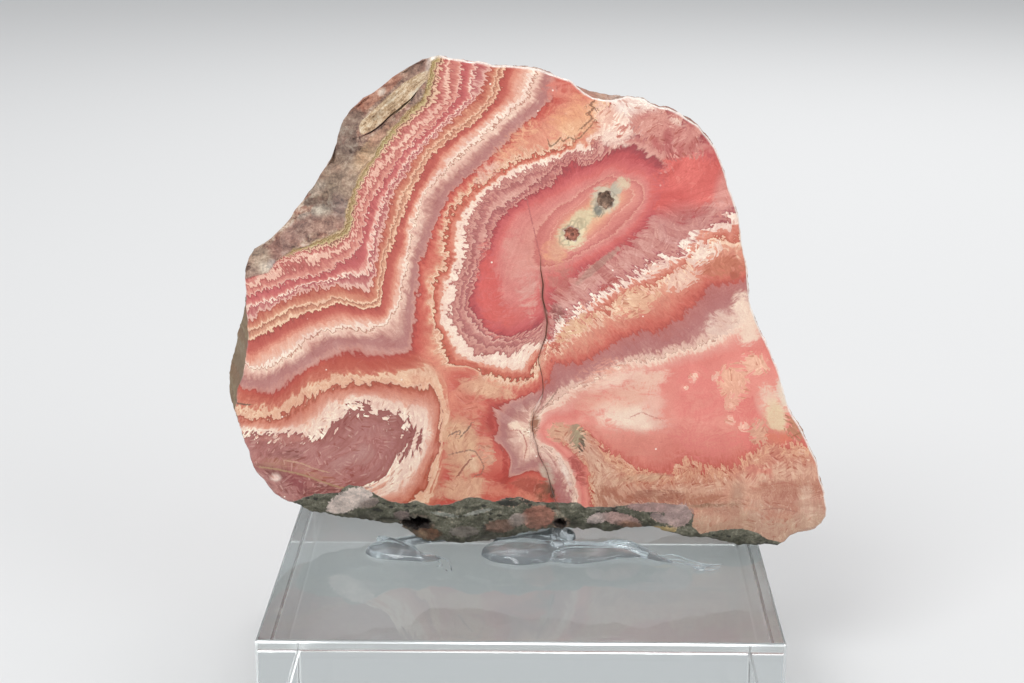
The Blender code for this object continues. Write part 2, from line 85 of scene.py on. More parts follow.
# ---- where the growth bands run -----------------------------------------------------------------
# One entry per growth line: its level and its path. Levels rise from the host rock (-1) inwards to
# the crystal-lined hollows (21): 8 is the cream line, 9 to 10 the mauve band, 12 to 14 the dogtooth
# layers, 15 the crimson line, 17 the light ring round the core.
GROWTH_LINES: tuple[tuple[float, Path], ...] = (
    (-1, ((-19, 99.5), (-23, 93), (-27, 88.5), (-30.5, 83), (-34, 77.5), (-36, 72.5), (-36.5, 68.5),
          (-41, 66.5), (-47, 64), (-52, 62))),
    (0, ((-16.5, 103), (-17.5, 100.5), (-18.5, 94.5), (-22.5, 91.5), (-26.5, 87), (-31, 81),
         (-33.5, 76.5), (-34.5, 71.5), (-35, 68), (-38.5, 65.5), (-45.5, 64), (-49.5, 62.5), (-56, 60))),
    (1, ((-14.5, 100.5), (-14.5, 95), (-19, 90.5), (-24, 85.5), (-28.5, 80), (-32, 74.5), (-34, 67),
         (-35.5, 64.5), (-41.5, 61), (-45.5, 60), (-50, 58), (-56, 56))),
    (2, ((-11.5, 100.5), (-12.5, 95), (-16.5, 90.5), (-23, 84.5), (-29.5, 75.5), (-32.5, 66),
         (-33, 62.5), (-37.5, 60.5), (-41.5, 58), (-45.5, 57.5), (-50, 56), (-56, 54))),
    (3, ((-10, 100.5), (-10.5, 95), (-15.5, 90.5), (-22, 84.5), (-28, 75.5), (-31, 66), (-31.5, 58.5),
         (-33.5, 59), (-37.5, 58.5), (-41.5, 57), (-45.5, 56.5), (-50, 54), (-56, 52))),
    (4, ((-6.5, 100.5), (-8.5, 95), (-14.5, 90.5), (-20.5, 84.5), (-26, 75.5), (-28.5, 66), (-29.5, 62),
         (-31, 55), (-33.5, 55.5), (-37.5, 56), (-41.5, 55.5), (-46, 54.5), (-50, 52.5), (-56, 49))),
    (5, ((-5, 100.5), (-6.5, 95), (-10.5, 90.5), (-19, 84.5), (-24, 75.5), (-27.5, 66), (-29, 62),
         (-30, 52.5), (-33.5, 52.5), (-37.5, 54), (-41.5, 52.5), (-46, 52), (-50, 50), (-56.5, 46.5))),
    (6, ((-3.5, 100.5), (-4.5, 95), (-8.5, 91), (-17, 84.5), (-22.5, 75.5), (-25.5, 66), (-27.5, 61.5),
         (-29, 53), (-30, 51), (-33.5, 51), (-37.5, 52.5), (-41.5, 51), (-46, 49.5), (-50, 47),
         (-56.5, 43.5))),
    (7, ((-0.5, 100), (-2.5, 95), (-7, 91), (-14.5, 84.5), (-21, 75.5), (-23.5, 66), (-25, 61.5),
         (-26.5, 53.5), (-28, 49), (-33.5, 49.5), (-37.5, 49.5), (-42, 48), (-46, 46.5), (-50, 44),
         (-56.5, 40))),
    (8, ((3, 100), (1, 95), (-3.5, 91), (-10, 85), (-19, 77), (-22.5, 70.5), (-23, 62.5), (-24, 58),
         (-25, 53.5), (-27.5, 48.5), (-31, 46.5), (-36.5, 47), (-42, 46.5), (-45.5, 43.5),
         (-49.5, 40.5), (-54.5, 38), (-58, 39.5))),
    (9, ((4, 100), (3, 95), (-2, 91), (-8.5, 84.5), (-17.5, 75.5), (-21, 66), (-22.5, 61.5), (-24, 53),
         (-24.5, 47.5), (-26, 45.5), (-33, 45.5), (-40, 45.5), (-45.5, 41.5), (-49.5, 39),
         (-54.5, 36.5), (-58, 36.5))),
    (10, ((7, 100), (6, 95), (1.5, 91), (-5, 84.5), (-14.5, 76), (-19, 66), (-21, 61.5), (-22, 53),
          (-22.5, 44), (-25.5, 41.5), (-32, 41), (-37, 42), (-42, 40), (-46.5, 37), (-51.5, 33),
          (-56.5, 34), (-59, 35.5))),
    (11, ((15, 95), (10, 92.5), (4, 89.5), (-0.5, 85.5), (-7, 81), (-13, 76), (-16, 72), (-17, 68.5),
          (-17, 61.5), (-19, 58), (-19.5, 53.5), (-19, 47.5), (-19, 42), (-16, 39.5), (-11, 39))),
    (12, ((12.5, 85.5), (7, 84.5), (4, 83.5), (-0.5, 82), (-5, 79.5), (-10.5, 75.5), (-15, 69.5),
          (-15.5, 65), (-14.5, 61.5), (-17.5, 57.5), (-18.5, 53.5), (-17.5, 49), (-16, 44), (-14, 40))),
    (13, ((15, 88), (10.5, 85.5), (4.5, 83), (-0.5, 81.5), (-5, 79), (-9, 75.5), (-12.5, 71.5),
          (-13.5, 66), (-14, 61.5), (-15.5, 57.5), (-16.5, 53.5), (-16.5, 48.5), (-14, 44),
          (-10, 40.5), (-0.5, 39.5))),
    (14, ((25, 92), (16.5, 87.5), (11.5, 85), (5.5, 82), (-1, 79), (-7, 75.5), (-10.5, 69.5), (-11, 62),
          (-13, 57), (-14, 52.5), (-13, 47), (-9, 43.5), (-3, 43.5), (4, 45.5))),
    (15, ((29, 79.5), (24.5, 83), (20, 84.5), (15.5, 82.5), (9, 80), (5.5, 77), (1, 75), (-5, 70),
          (-6.5, 65), (-9, 59.5), (-10.5, 53.5), (-9.5, 50.5), (-6, 47), (-0.5, 46.5), (4.5, 50))),
    (15, ((6, 55.5), (12.5, 60.5), (19.5, 64.5), (23, 68), (27, 72), (33.5, 73))),
    (16, ((23.5, 79.5), (17.5, 81), (11.5, 78), (4.5, 74.5), (-1.5, 71.5), (-5, 64), (-6.5, 58),
          (-7, 52.5), (-4, 50), (0.5, 53.5), (4.5, 58.5), (9.5, 61), (15.5, 64.5), (20.5, 68),
          (24, 72), (25.5, 76.5))),
    (17, ((23, 78), (17.5, 79.5), (12.5, 76.5), (6.5, 72.5), (2.5, 67.5), (2, 61.5), (5.5, 60.5),
          (11.5, 63.5), (17.5, 67), (22, 71.5), (24, 74.5))),
    (18, ((21, 77.5), (16.5, 78.5), (11.5, 74), (6.5, 70), (4.5, 65), (6, 62.5), (11.5, 65),
          (16.5, 69), (20, 72.5))),
    (19, ((19, 76.5), (16, 77), (12.5, 73.5), (8.5, 70.5), (6, 66.5), (7.5, 64), (11.5, 66), (16, 70),
          (18.5, 73))),
    (20, ((16.5, 76), (18, 74.5), (16.5, 72.5), (14.5, 74.5))),
    (20, ((9.5, 69), (11, 67.5), (9.5, 65.5), (8, 67.5))),
    (19.3, ((12.4, 71.6), (13.6, 70.4))),
    (21, ((16.5, 74.5),)),
    (21, ((9.5, 67.5),)),
    # right of the crack, from the core outwards
    (14, ((43, 73), (38, 71.5), (34, 68.5), (31, 65), (25.5, 62.5), (20.5, 59.5), (15.5, 56), (11, 53),
          (7.5, 50), (5, 47.5))),
    (13, ((44, 70.5), (38.5, 69), (35.5, 66.5), (33, 63.5), (27.5, 60.5), (22.5, 58), (17, 54.5),
          (12, 51.5), (8.5, 48), (5.5, 45))),
    (12, ((44, 67.5), (38, 67), (36, 64), (32, 61), (27, 58), (21.5, 55.5), (17, 52.5), (12.5, 50),
          (8.5, 46.5), (5.5, 44))),
    (11, ((44.5, 63), (39, 63), (36, 60.5), (32, 57), (27, 54), (22, 51.5), (16.5, 48.5), (12.5, 45.5),
          (7.5, 42.5))),
    (10, ((45, 58), (38, 57.5), (35.5, 54.5), (32, 50.5), (28, 48), (23, 47), (18, 45), (16, 43),
          (11.5, 40.5), (6, 40.5))),
    (9, ((46, 54.5), (42, 52), (38.5, 49.5), (36, 47.5), (30.5, 44.5), (24, 43.5), (18.5, 41),
         (13.5, 38), (8, 36.5), (3.5, 32.5))),
    (8, ((46.5, 52), (42.5, 49.5), (37.5, 45), (31.5, 43.5), (27, 41.5), (22, 41.5), (16, 37.5),
         (8, 34.5), (2.5, 29.5))),
    (6, ((48.5, 44.5), (43.5, 43.5), (36.5, 41), (28, 38), (20, 35.5), (14, 32.5), (9.5, 29))),
    (4.5, ((52, 35), (45, 32.5), (36.5, 31.5), (28.5, 30.5), (20, 29), (16, 27))),
    (3, ((58, 23), (51.5, 23.5), (47, 21.5), (44, 18.5), (39, 18), (33.5, 20), (30.5, 16.5),
         (24.5, 17), (19.5, 20.5), (16, 23), (13.5, 26))),
    (2, ((60, 18), (51.5, 17.5), (44.5, 14.5), (37, 13.5), (28.5, 13), (22.5, 13), (16, 16),
         (14, 19.5))),
    (1, ((61.5, 12), (51.5, 11.5), (41.5, 10), (31, 9.5), (22.5, 10), (17, 11.5))),
    (0, ((63, 6.5), (54, 6.5), (43.5, 5.5), (33, 5.5), (24.5, 8))),
    # the lower left centre and the ribbons between it and the crack
    (10.5, ((-23.5, 39), (-29.5, 38.5), (-38, 38.5), (-44, 37), (-49.5, 32.5), (-54.5, 31.5),
            (-58, 32.5))),
    (11, ((-20.5, 38.5), (-25.5, 37.5), (-31.5, 38), (-38.5, 37), (-44, 34.5), (-48, 31.5),
          (-54.5, 29.5), (-58.5, 29.5))),
    (12, ((-18.5, 33), (-22.5, 34.5), (-29, 35), (-36.5, 35), (-41.5, 34), (-44.5, 31), (-50, 27.5),
          (-59, 27.5))),
    (12, ((-18.5, 33), (-17.5, 30.5), (-18, 24), (-19.5, 19), (-21.5, 13.5))),
    (14, ((-25.5, 26), (-29.5, 29), (-34.5, 30.5), (-38, 26.5), (-42.5, 23), (-47.5, 23.5),
          (-55, 23.5), (-58, 24))),
    (14, ((-25.5, 26), (-26.5, 23.5), (-23.5, 22), (-27.5, 19.5), (-28.5, 15.5), (-32, 14),
          (-35.5, 13.5))),
    (16, ((-29, 23.5), (-33.5, 26), (-37, 21.5), (-42.5, 19.5), (-49, 20), (-54.5, 20.5))),
    (16, ((-30, 21), (-31.5, 17.5), (-36.5, 16.5))),
    (17, ((-42.5, 15.5), (-49, 17), (-54.5, 18))),
    (18, ((-38.5, 17), (-33.5, 21.5))),
    (10.6, ((-14.5, 38.5), (-15.5, 33.5), (-15, 28), (-16, 22.5), (-17.5, 17), (-18.5, 12.5))),
    (10.2, ((-11, 35.5), (-12, 29), (-11, 21.5), (-13, 15))),
    (10, ((-6.5, 30), (-5.5, 27.5), (-6.3, 24.5), (-5, 22), (-3.2, 20.8), (-2.7, 18), (-3.2, 15.5),
          (-4, 13.5))),
    (9, ((0.8, 31.3), (-1.7, 29), (-3.2, 26.9), (-3.8, 24.3), (-2.8, 22), (-1.3, 19.7), (-1.2, 17.4))),
    (8.3, ((1, 28), (-0.8, 26.4), (-0.4, 23.5), (0.6, 20.5))),
    (9.4, ((-0.6, 17), (1, 18.2), (2.8, 18.4), (5.2, 17.1), (6.4, 14.9), (7.3, 12.5))),
    (10.3, ((-2, 14.2), (-0.5, 15), (1.4, 16.2), (3.5, 15.8), (4.6, 14), (5.2, 11.5))),
    (8, ((3.4, 22), (5.2, 21), (6.8, 19.5), (8.3, 18), (9.2, 16), (10.4, 12), (10.9, 10.2))),
    (7.2, ((6, 22), (7.7, 20.4), (9.3, 18.6), (10.4, 16.4), (11.3, 12.2))),
    (3.2, ((6.5, 24), (8.7, 22), (10.8, 20.4), (12.5, 18.4), (13.3, 16), (13.8, 12.7), (14, 9.8))),
    (10.3, ((-9, 33.5), (-9.5, 27), (-9, 21), (-7, 15), (-6, 12))),
)
CRACK: Path = (
    (3.5, 63), (3.5, 60), (4, 57), (3.8, 54.5), (4.3, 52), (4.9, 49), (4.6, 46), (3.6, 43.3), (3, 41),
    (3.8, 38), (4.1, 35.6), (4.1, 34.1), (3.9, 32.4), (3.3, 31), (2.4, 29.6), (1.9, 27.8), (1.9, 26),
    (2.3, 24.2), (2.9, 22.4), (3.2, 20.4), (4.2, 18.5), (5, 16.9), (5.5, 14.6), (6, 12.2), (7, 9.6),
    (7.8, 7),
)
FAULT: Path = (
    (35.5, 85), (16.5, 74.5), (9.5, 67.5), (3.5, 61.5), (4, 57), (4.5, 49.5), (3.5, 43), (4, 36.5),
    (2, 30), (2, 23.5), (3.5, 19.5), (5.5, 15), (7.8, 7), (8, -2),
)
RIGHT_OF_CRACK: Path = FAULT + ((80, -2), (80, 85))
LOWER_LEFT: Path = (
    (-66, 35.5), (-56.5, 34), (-51.5, 33), (-46.5, 37), (-42, 40), (-37, 42), (-32, 41), (-25.5, 41.5),
    (-22, 42.5), (-19, 39.5), (-16, 35.5), (-15, 28), (-16.5, 21.5), (-18, 10.5), (-20, -2), (-66, -2),
)
BETWEEN_CENTRES: Path = (
    (-15, 37.5), (-0.5, 38.5), (4.5, 44), (3.5, 39), (2, 32.5), (2, 26.5), (4.5, 17), (7, 9.5),
    (8, -2), (-18, -2), (-17.5, 10.5), (-16, 23.5),
)
ROCK_EDGE: Path = (
    (70, -3), (53, 1.6), (49.5, 3.2), (46, 4.4), (41.5, 4), (37.5, 3.2), (35.6, 4.6), (35.8, 7.4),
    (34.6, 9.2), (31, 9.8), (27, 9.9), (23.5, 9.8), (20.5, 9.2), (16, 9), (13, 9), (11, 10), (6.5, 10),
    (2.5, 10), (-0.5, 11), (-3, 11), (-6.5, 10), (-9.5, 11), (-11.5, 11), (-15, 9.5), (-19.5, 9),
    (-22.5, 10), (-25.5, 9.5), (-29.5, 10.5), (-31, 11.5), (-33.5, 13), (-36.5, 13.5), (-39, 12),
    (-41.5, 11.5), (-44, 11.5), (-48.2, 9.8), (-56, 3), (-56, -3),
)
RIND_EDGE: Path = (
    (-62, 58), (-56.2, 58), (-52, 59.5), (-49.5, 62.5), (-47, 64), (-44, 65), (-41, 66.5),
    (-36.5, 68.5), (-36, 72.5), (-35, 75), (-34, 77.5), (-33, 80.5), (-30.5, 83), (-29, 85.5),
    (-27, 88.5), (-25, 90.5), (-23, 93), (-20.5, 94.5), (-19.5, 97.5), (-19, 99.5), (-18, 106),
    (-62, 106),
)
SPLINTER: Path = (
    (-33.2, 89.1), (-32.6, 87.6), (-30.5, 88.5), (-27.5, 90.6), (-24.5, 92.7), (-22.2, 94.9),
    (-20.9, 97), (-18.4, 100.1), (-18.8, 100.7), (-20.7, 99.9), (-24, 97.8), (-26.6, 95.7),
    (-28.7, 93.7), (-30.9, 91.6), (-32.6, 90.1),
)


# ---- colours of the growth layers: level and sRGB colour -----------------------------------------
FAN_COLOURS: Layers = (
    (-1.6, "a98f78"), (-1.3, "cdb294"), (-1.25, "94744f"), (-1.1, "c4aa84"), (-0.85, "dcc8a2"),
    (-0.8, "7f6336"), (-0.66, "a48e5a"), (-0.6, "cdba8c"), (-0.5, "84693a"), (-0.36, "b5a26e"),
    (-0.2, "d6c498"), (-0.08, "c8a684"), (-0.05, "7a4636"), (0.05, "9c5e4e"), (0.1, "e6c4a6"),
    (0.28, "edc9b0"), (0.33, "a9544c"), (0.5, "c4706a"), (0.68, "dc988c"), (0.74, "f2cfbd"),
    (0.95, "f0c4b2"), (1, "b05a55"), (1.12, "c9776f"), (1.35, "dc978a"), (1.6, "ecbcac"),
    (1.68, "f6d6c7"), (1.74, "a54a4b"), (1.95, "be5c5f"), (2.3, "cc6c6b"), (2.6, "db8d85"),
    (2.8, "edb8aa"), (2.86, "fbe6d8"), (3.08, "f5d5c6"), (3.13, "a9555c"), (3.3, "c06e6d"),
    (3.55, "cf8a86"), (3.7, "ecc7ba"), (3.86, "eabfb0"), (3.9, "ad5348"), (4.1, "c26855"),
    (4.5, "d28c72"), (4.72, "e2a88c"), (4.77, "f3d2b8"), (4.95, "ecc3a4"), (5, "a5604c"),
    (5.15, "cb8f74"), (5.4, "e0aa8e"), (5.45, "f4d3b7"), (5.65, "efc8a9"), (5.7, "9e463c"),
    (5.95, "bd574d"), (6.35, "c76558"), (6.6, "d98672"), (6.85, "e6a38e"), (7.1, "eebca8"),
    (7.4, "f3cfbc"), (7.46, "fdf0e4"), (7.75, "fbe6d6"), (7.8, "b9806c"), (7.9, "d3a493"),
    (7.98, "f5decd"), (8.3, "efcdbd"), (8.6, "ddb3a6"), (8.95, "c5938a"), (9.2, "b9827e"),
    (9.6, "bc8480"), (9.85, "cf9c92"), (9.95, "c98a80"), (10, "ab4239"), (10.2, "c9584c"),
)
CORE_COLOURS: Layers = (
    (10.2, "c9584c"), (10.6, "d67765"), (10.9, "df917a"), (11.15, "e8a98e"), (11.2, "f2cdb2"),
    (11.3, "dfa68a"), (11.42, "eec2a4"), (11.5, "f6d8c0"), (11.78, "f0c8a8"), (11.83, "8a4634"),
    (11.95, "b85842"), (12.2, "cc6a55"), (12.5, "dd8c76"), (12.8, "eab29c"), (12.88, "f9e1cf"),
    (13.3, "fdecdd"), (13.72, "fbe5d6"), (13.78, "a8605a"), (13.92, "c98a83"), (14.1, "dba79b"),
    (14.16, "a85f5e"), (14.35, "c98680"), (14.52, "e3b3a6"), (14.57, "a25357"), (14.72, "c9827c"),
    (14.84, "dfa89c"), (14.89, "9a3f46"), (15.05, "bd4f53"), (15.3, "cb6163"), (15.8, "d9736e"),
    (16.2, "dc8580"), (16.7, "da8b84"), (16.95, "e4a598"), (17.05, "cc756f"), (17.5, "d98880"),
    (18.1, "e09488"), (18.2, "e9b3a2"), (18.28, "d9897d"), (18.8, "e29c88"), (19.2, "e8ad90"),
    (19.5, "ebc6a2"), (19.75, "eadab8"), (19.95, "dccfae"), (20.15, "b39a84"), (20.4, "8a6854"),
    (21, "6a4636"),
)
RIGHT_COLOURS: Layers = (
    (0, "bd9a84"), (0.5, "c9a490"), (0.55, "b98d78"), (0.95, "d3a893"), (1, "be8a74"),
    (1.3, "b98069"), (1.6, "c8957e"), (1.65, "dab098"), (2, "dcb29a"), (2.3, "d39c84"),
    (2.42, "c9826c"), (2.5, "e0b295"), (2.75, "dca486"), (2.8, "c8735f"), (2.86, "e2b093"),
    (2.97, "dca486"), (3.02, "cb6456"), (3.4, "dc8376"), (3.9, "e59587"), (4.3, "ec9c8f"),
    (5, "ea9489"), (5.8, "e68a80"), (6.5, "e89d92"), (7, "eeb5a6"), (7.15, "f4d2c0"),
    (7.75, "f9e2d2"), (7.8, "b98270"), (7.95, "e9c9b9"), (8.4, "e6c4b6"), (8.65, "d0a097"),
    (8.9, "c08682"), (9.4, "b97a78"), (9.9, "bb7570"), (9.98, "bb5347"), (10.2, "d06c5d"),
    (10.7, "da8a76"), (11.1, "df9a84"), (11.3, "e2a48b"), (11.35, "f3cfb5"), (11.6, "f4d3bb"),
    (11.75, "edc0a4"), (11.82, "bb5f4c"), (12.1, "d27c68"), (12.6, "dd937f"), (12.82, "e7a996"),
    (12.88, "fbe8da"), (13.3, "fdeee2"), (13.66, "fae3d6"), (13.71, "a2525a"), (13.9, "b8696b"),
    (14.05, "cf928c"), (14.4, "d7a198"), (14.7, "cd8f88"), (14.95, "c67c79"), (15, "bb5055"),
    (15.25, "ca5f61"), (15.6, "d46d69"),
)
LOW_COLOURS: Layers = (
    (10, "b9503f"), (10.3, "c05e4b"), (10.65, "cb7560"), (10.88, "d89378"), (10.95, "f0cfb2"),
    (11.3, "ecc3a6"), (11.55, "e9b99c"), (11.7, "efc8ae"), (11.82, "a4503a"), (12, "bb6048"),
    (12.2, "cf806a"), (12.55, "dc9a85"), (12.85, "ebbba8"), (13, "f7e0cf"), (13.4, "fbeada"),
    (13.78, "f5decf"), (13.84, "9a5752"), (14.1, "a2645f"), (14.8, "ad706a"), (15.6, "b27975"),
    (16.6, "b97f7a"), (17, "ad6e69"), (17.9, "b98782"),
)

# How far the tips of the crystal teeth reach past each growth line, in mm, by level.
TEETH: Mapping[str, Curve] = {
    "fan": ((-1, 0.3), (0, 0.5), (0.4, 0.8), (0.6, 0.5), (0.9, 0.9), (1.3, 0.5), (1.7, 1.2), (2.2, 0.4),
            (2.6, 0.5), (3, 1.2), (3.4, 0.6), (3.9, 0.8), (4.3, 0.4), (4.8, 0.45), (5.5, 0.45),
            (5.8, 0.8), (6.1, 0.25), (6.8, 0.3), (6.95, 0.6), (7.8, 0.7), (8.5, 0.5), (9.5, 0.4),
            (10, 0.6), (10.5, 0.6), (11, 1.1), (11.8, 1.1), (12.1, 0.4), (12.7, 0.4), (12.9, 1),
            (13.7, 1.1), (14.1, 0.6), (14.9, 0.6), (15.4, 0.4), (17, 0.3), (20, 0.1)),
    "right": ((0, 0.8), (2, 0.8), (3, 1.3), (3.6, 0.4), (6.8, 0.4), (7.2, 0.9), (7.8, 0.9), (9, 0.8),
              (10, 0.7), (11, 1.5), (11.8, 1.4), (12.2, 0.6), (12.9, 1.3), (13.7, 1.7), (14.6, 1.2),
              (15, 0.9), (15.5, 0.4), (17, 0.3), (20, 0.1)),
    "low": ((10, 0.6), (10.9, 1.1), (11.8, 1.1), (12.2, 0.4), (12.8, 0.5), (13, 1.2), (13.8, 2.5),
            (15, 2), (18, 0.8)),
}
# How strongly the layer is split into separate blades, from 0 to 1, by level.
BLADES: Mapping[str, Curve] = {
    "fan": ((-1, 0.2), (2, 0.25), (8, 0.3), (9, 0.4), (10, 0.3), (11, 0.5), (12, 0.3), (14, 0.35),
            (15, 0.45), (15.4, 0.3), (16.5, 0.15), (20, 0.05)),
    "right": ((0, 0.3), (2.9, 0.6), (3.1, 0.1), (7, 0.05), (8, 0.3), (10, 0.3), (11, 0.7), (13, 0.85),
              (14.9, 1), (15.4, 0.4), (16.5, 0.15), (20, 0.05)),
    "low": ((10, 0.3), (11, 0.5), (14, 0.6), (18, 0.3)),
}
# How strongly fine growth lines and fibres show in the layer, from 0 to 1, by level.
LINES: Mapping[str, Curve] = {
    "fan": ((-1, 0.9), (8, 0.8), (9, 0.4), (10, 0.35), (11, 0.8), (14, 0.7), (15, 0.9), (15.4, 0.3),
            (16.8, 0.5), (18.5, 0.5), (20, 0.1)),
    "right": ((0, 0.6), (1.6, 0.7), (2.2, 0.5), (3, 0.4), (3.15, 0.05), (7, 0.1), (8, 0.6), (10, 0.4),
              (14, 0.5), (15, 0.7), (15.4, 0.3), (16.8, 0.5), (18.5, 0.5), (20, 0.1)),
    "low": ((10, 0.5), (14, 0.5), (14.3, 0.15), (18, 0.15)),
}
# How strongly the layer shows bundles of small laths that lie every way, from 0 to 1, by level.
LATHS: Mapping[str, Curve] = {
    "fan": ((-1, 0.05), (8, 0.1), (9.3, 0.25), (10, 0.05), (10.9, 0.3), (12.5, 0.2), (13.5, 0.3),
            (14, 0.12), (14.9, 0.1), (15.3, 0.1), (17, 0.1), (20, 0)),
    "right": ((0, 0.5), (1.5, 0.55), (2.2, 0.85), (2.9, 0.9), (3.15, 0.05), (7, 0.1), (8, 0.4),
              (9, 0.15), (10, 0.1), (10.9, 0.5), (12, 0.5), (13, 0.65), (13.8, 0.5), (14.9, 0.4),
              (15.3, 0.1), (17, 0.1), (20, 0)),
    "low": ((10, 0.15), (11, 0.4), (12.2, 0.25), (13.2, 0.7), (14, 0.9), (18, 0.7)),
}


@dataclass(frozen=True)
class Patch:
    """A local change of colour on the face: an ellipse with a soft, uneven edge.

    Attributes:
        x: Centre, mm.
        h: Centre height above the block, mm.
        half_w: Half width, mm.
        half_h: Half height, mm.
        colour: sRGB hex colour.
        strength: How far the colour replaces what is there, 0 to 1.
        turn: Rotation of the ellipse, degrees anticlockwise.
    """

    x: float
    h: float
    half_w: float
    half_h: float
    colour: str
    strength: float
    turn: float = 0.0

    def weight(self, spots: np.ndarray) -> np.ndarray:
        """Work out how strongly the patch covers each spot.

        Args:
            spots: (x, h) rows, mm.

        Returns:
            The cover, full in the middle and none past the edge.
        """
        a = math.radians(self.turn)
        dx = spots[:, 0] - self.x
        dh = spots[:, 1] - self.h
        u = (dx * math.cos(a) + dh * math.sin(a)) / self.half_w
        v = (-dx * math.sin(a) + dh * math.cos(a)) / self.half_h
        return self.strength * np.clip(1.6 - 1.1 * np.hypot(u, v), 0, 1)


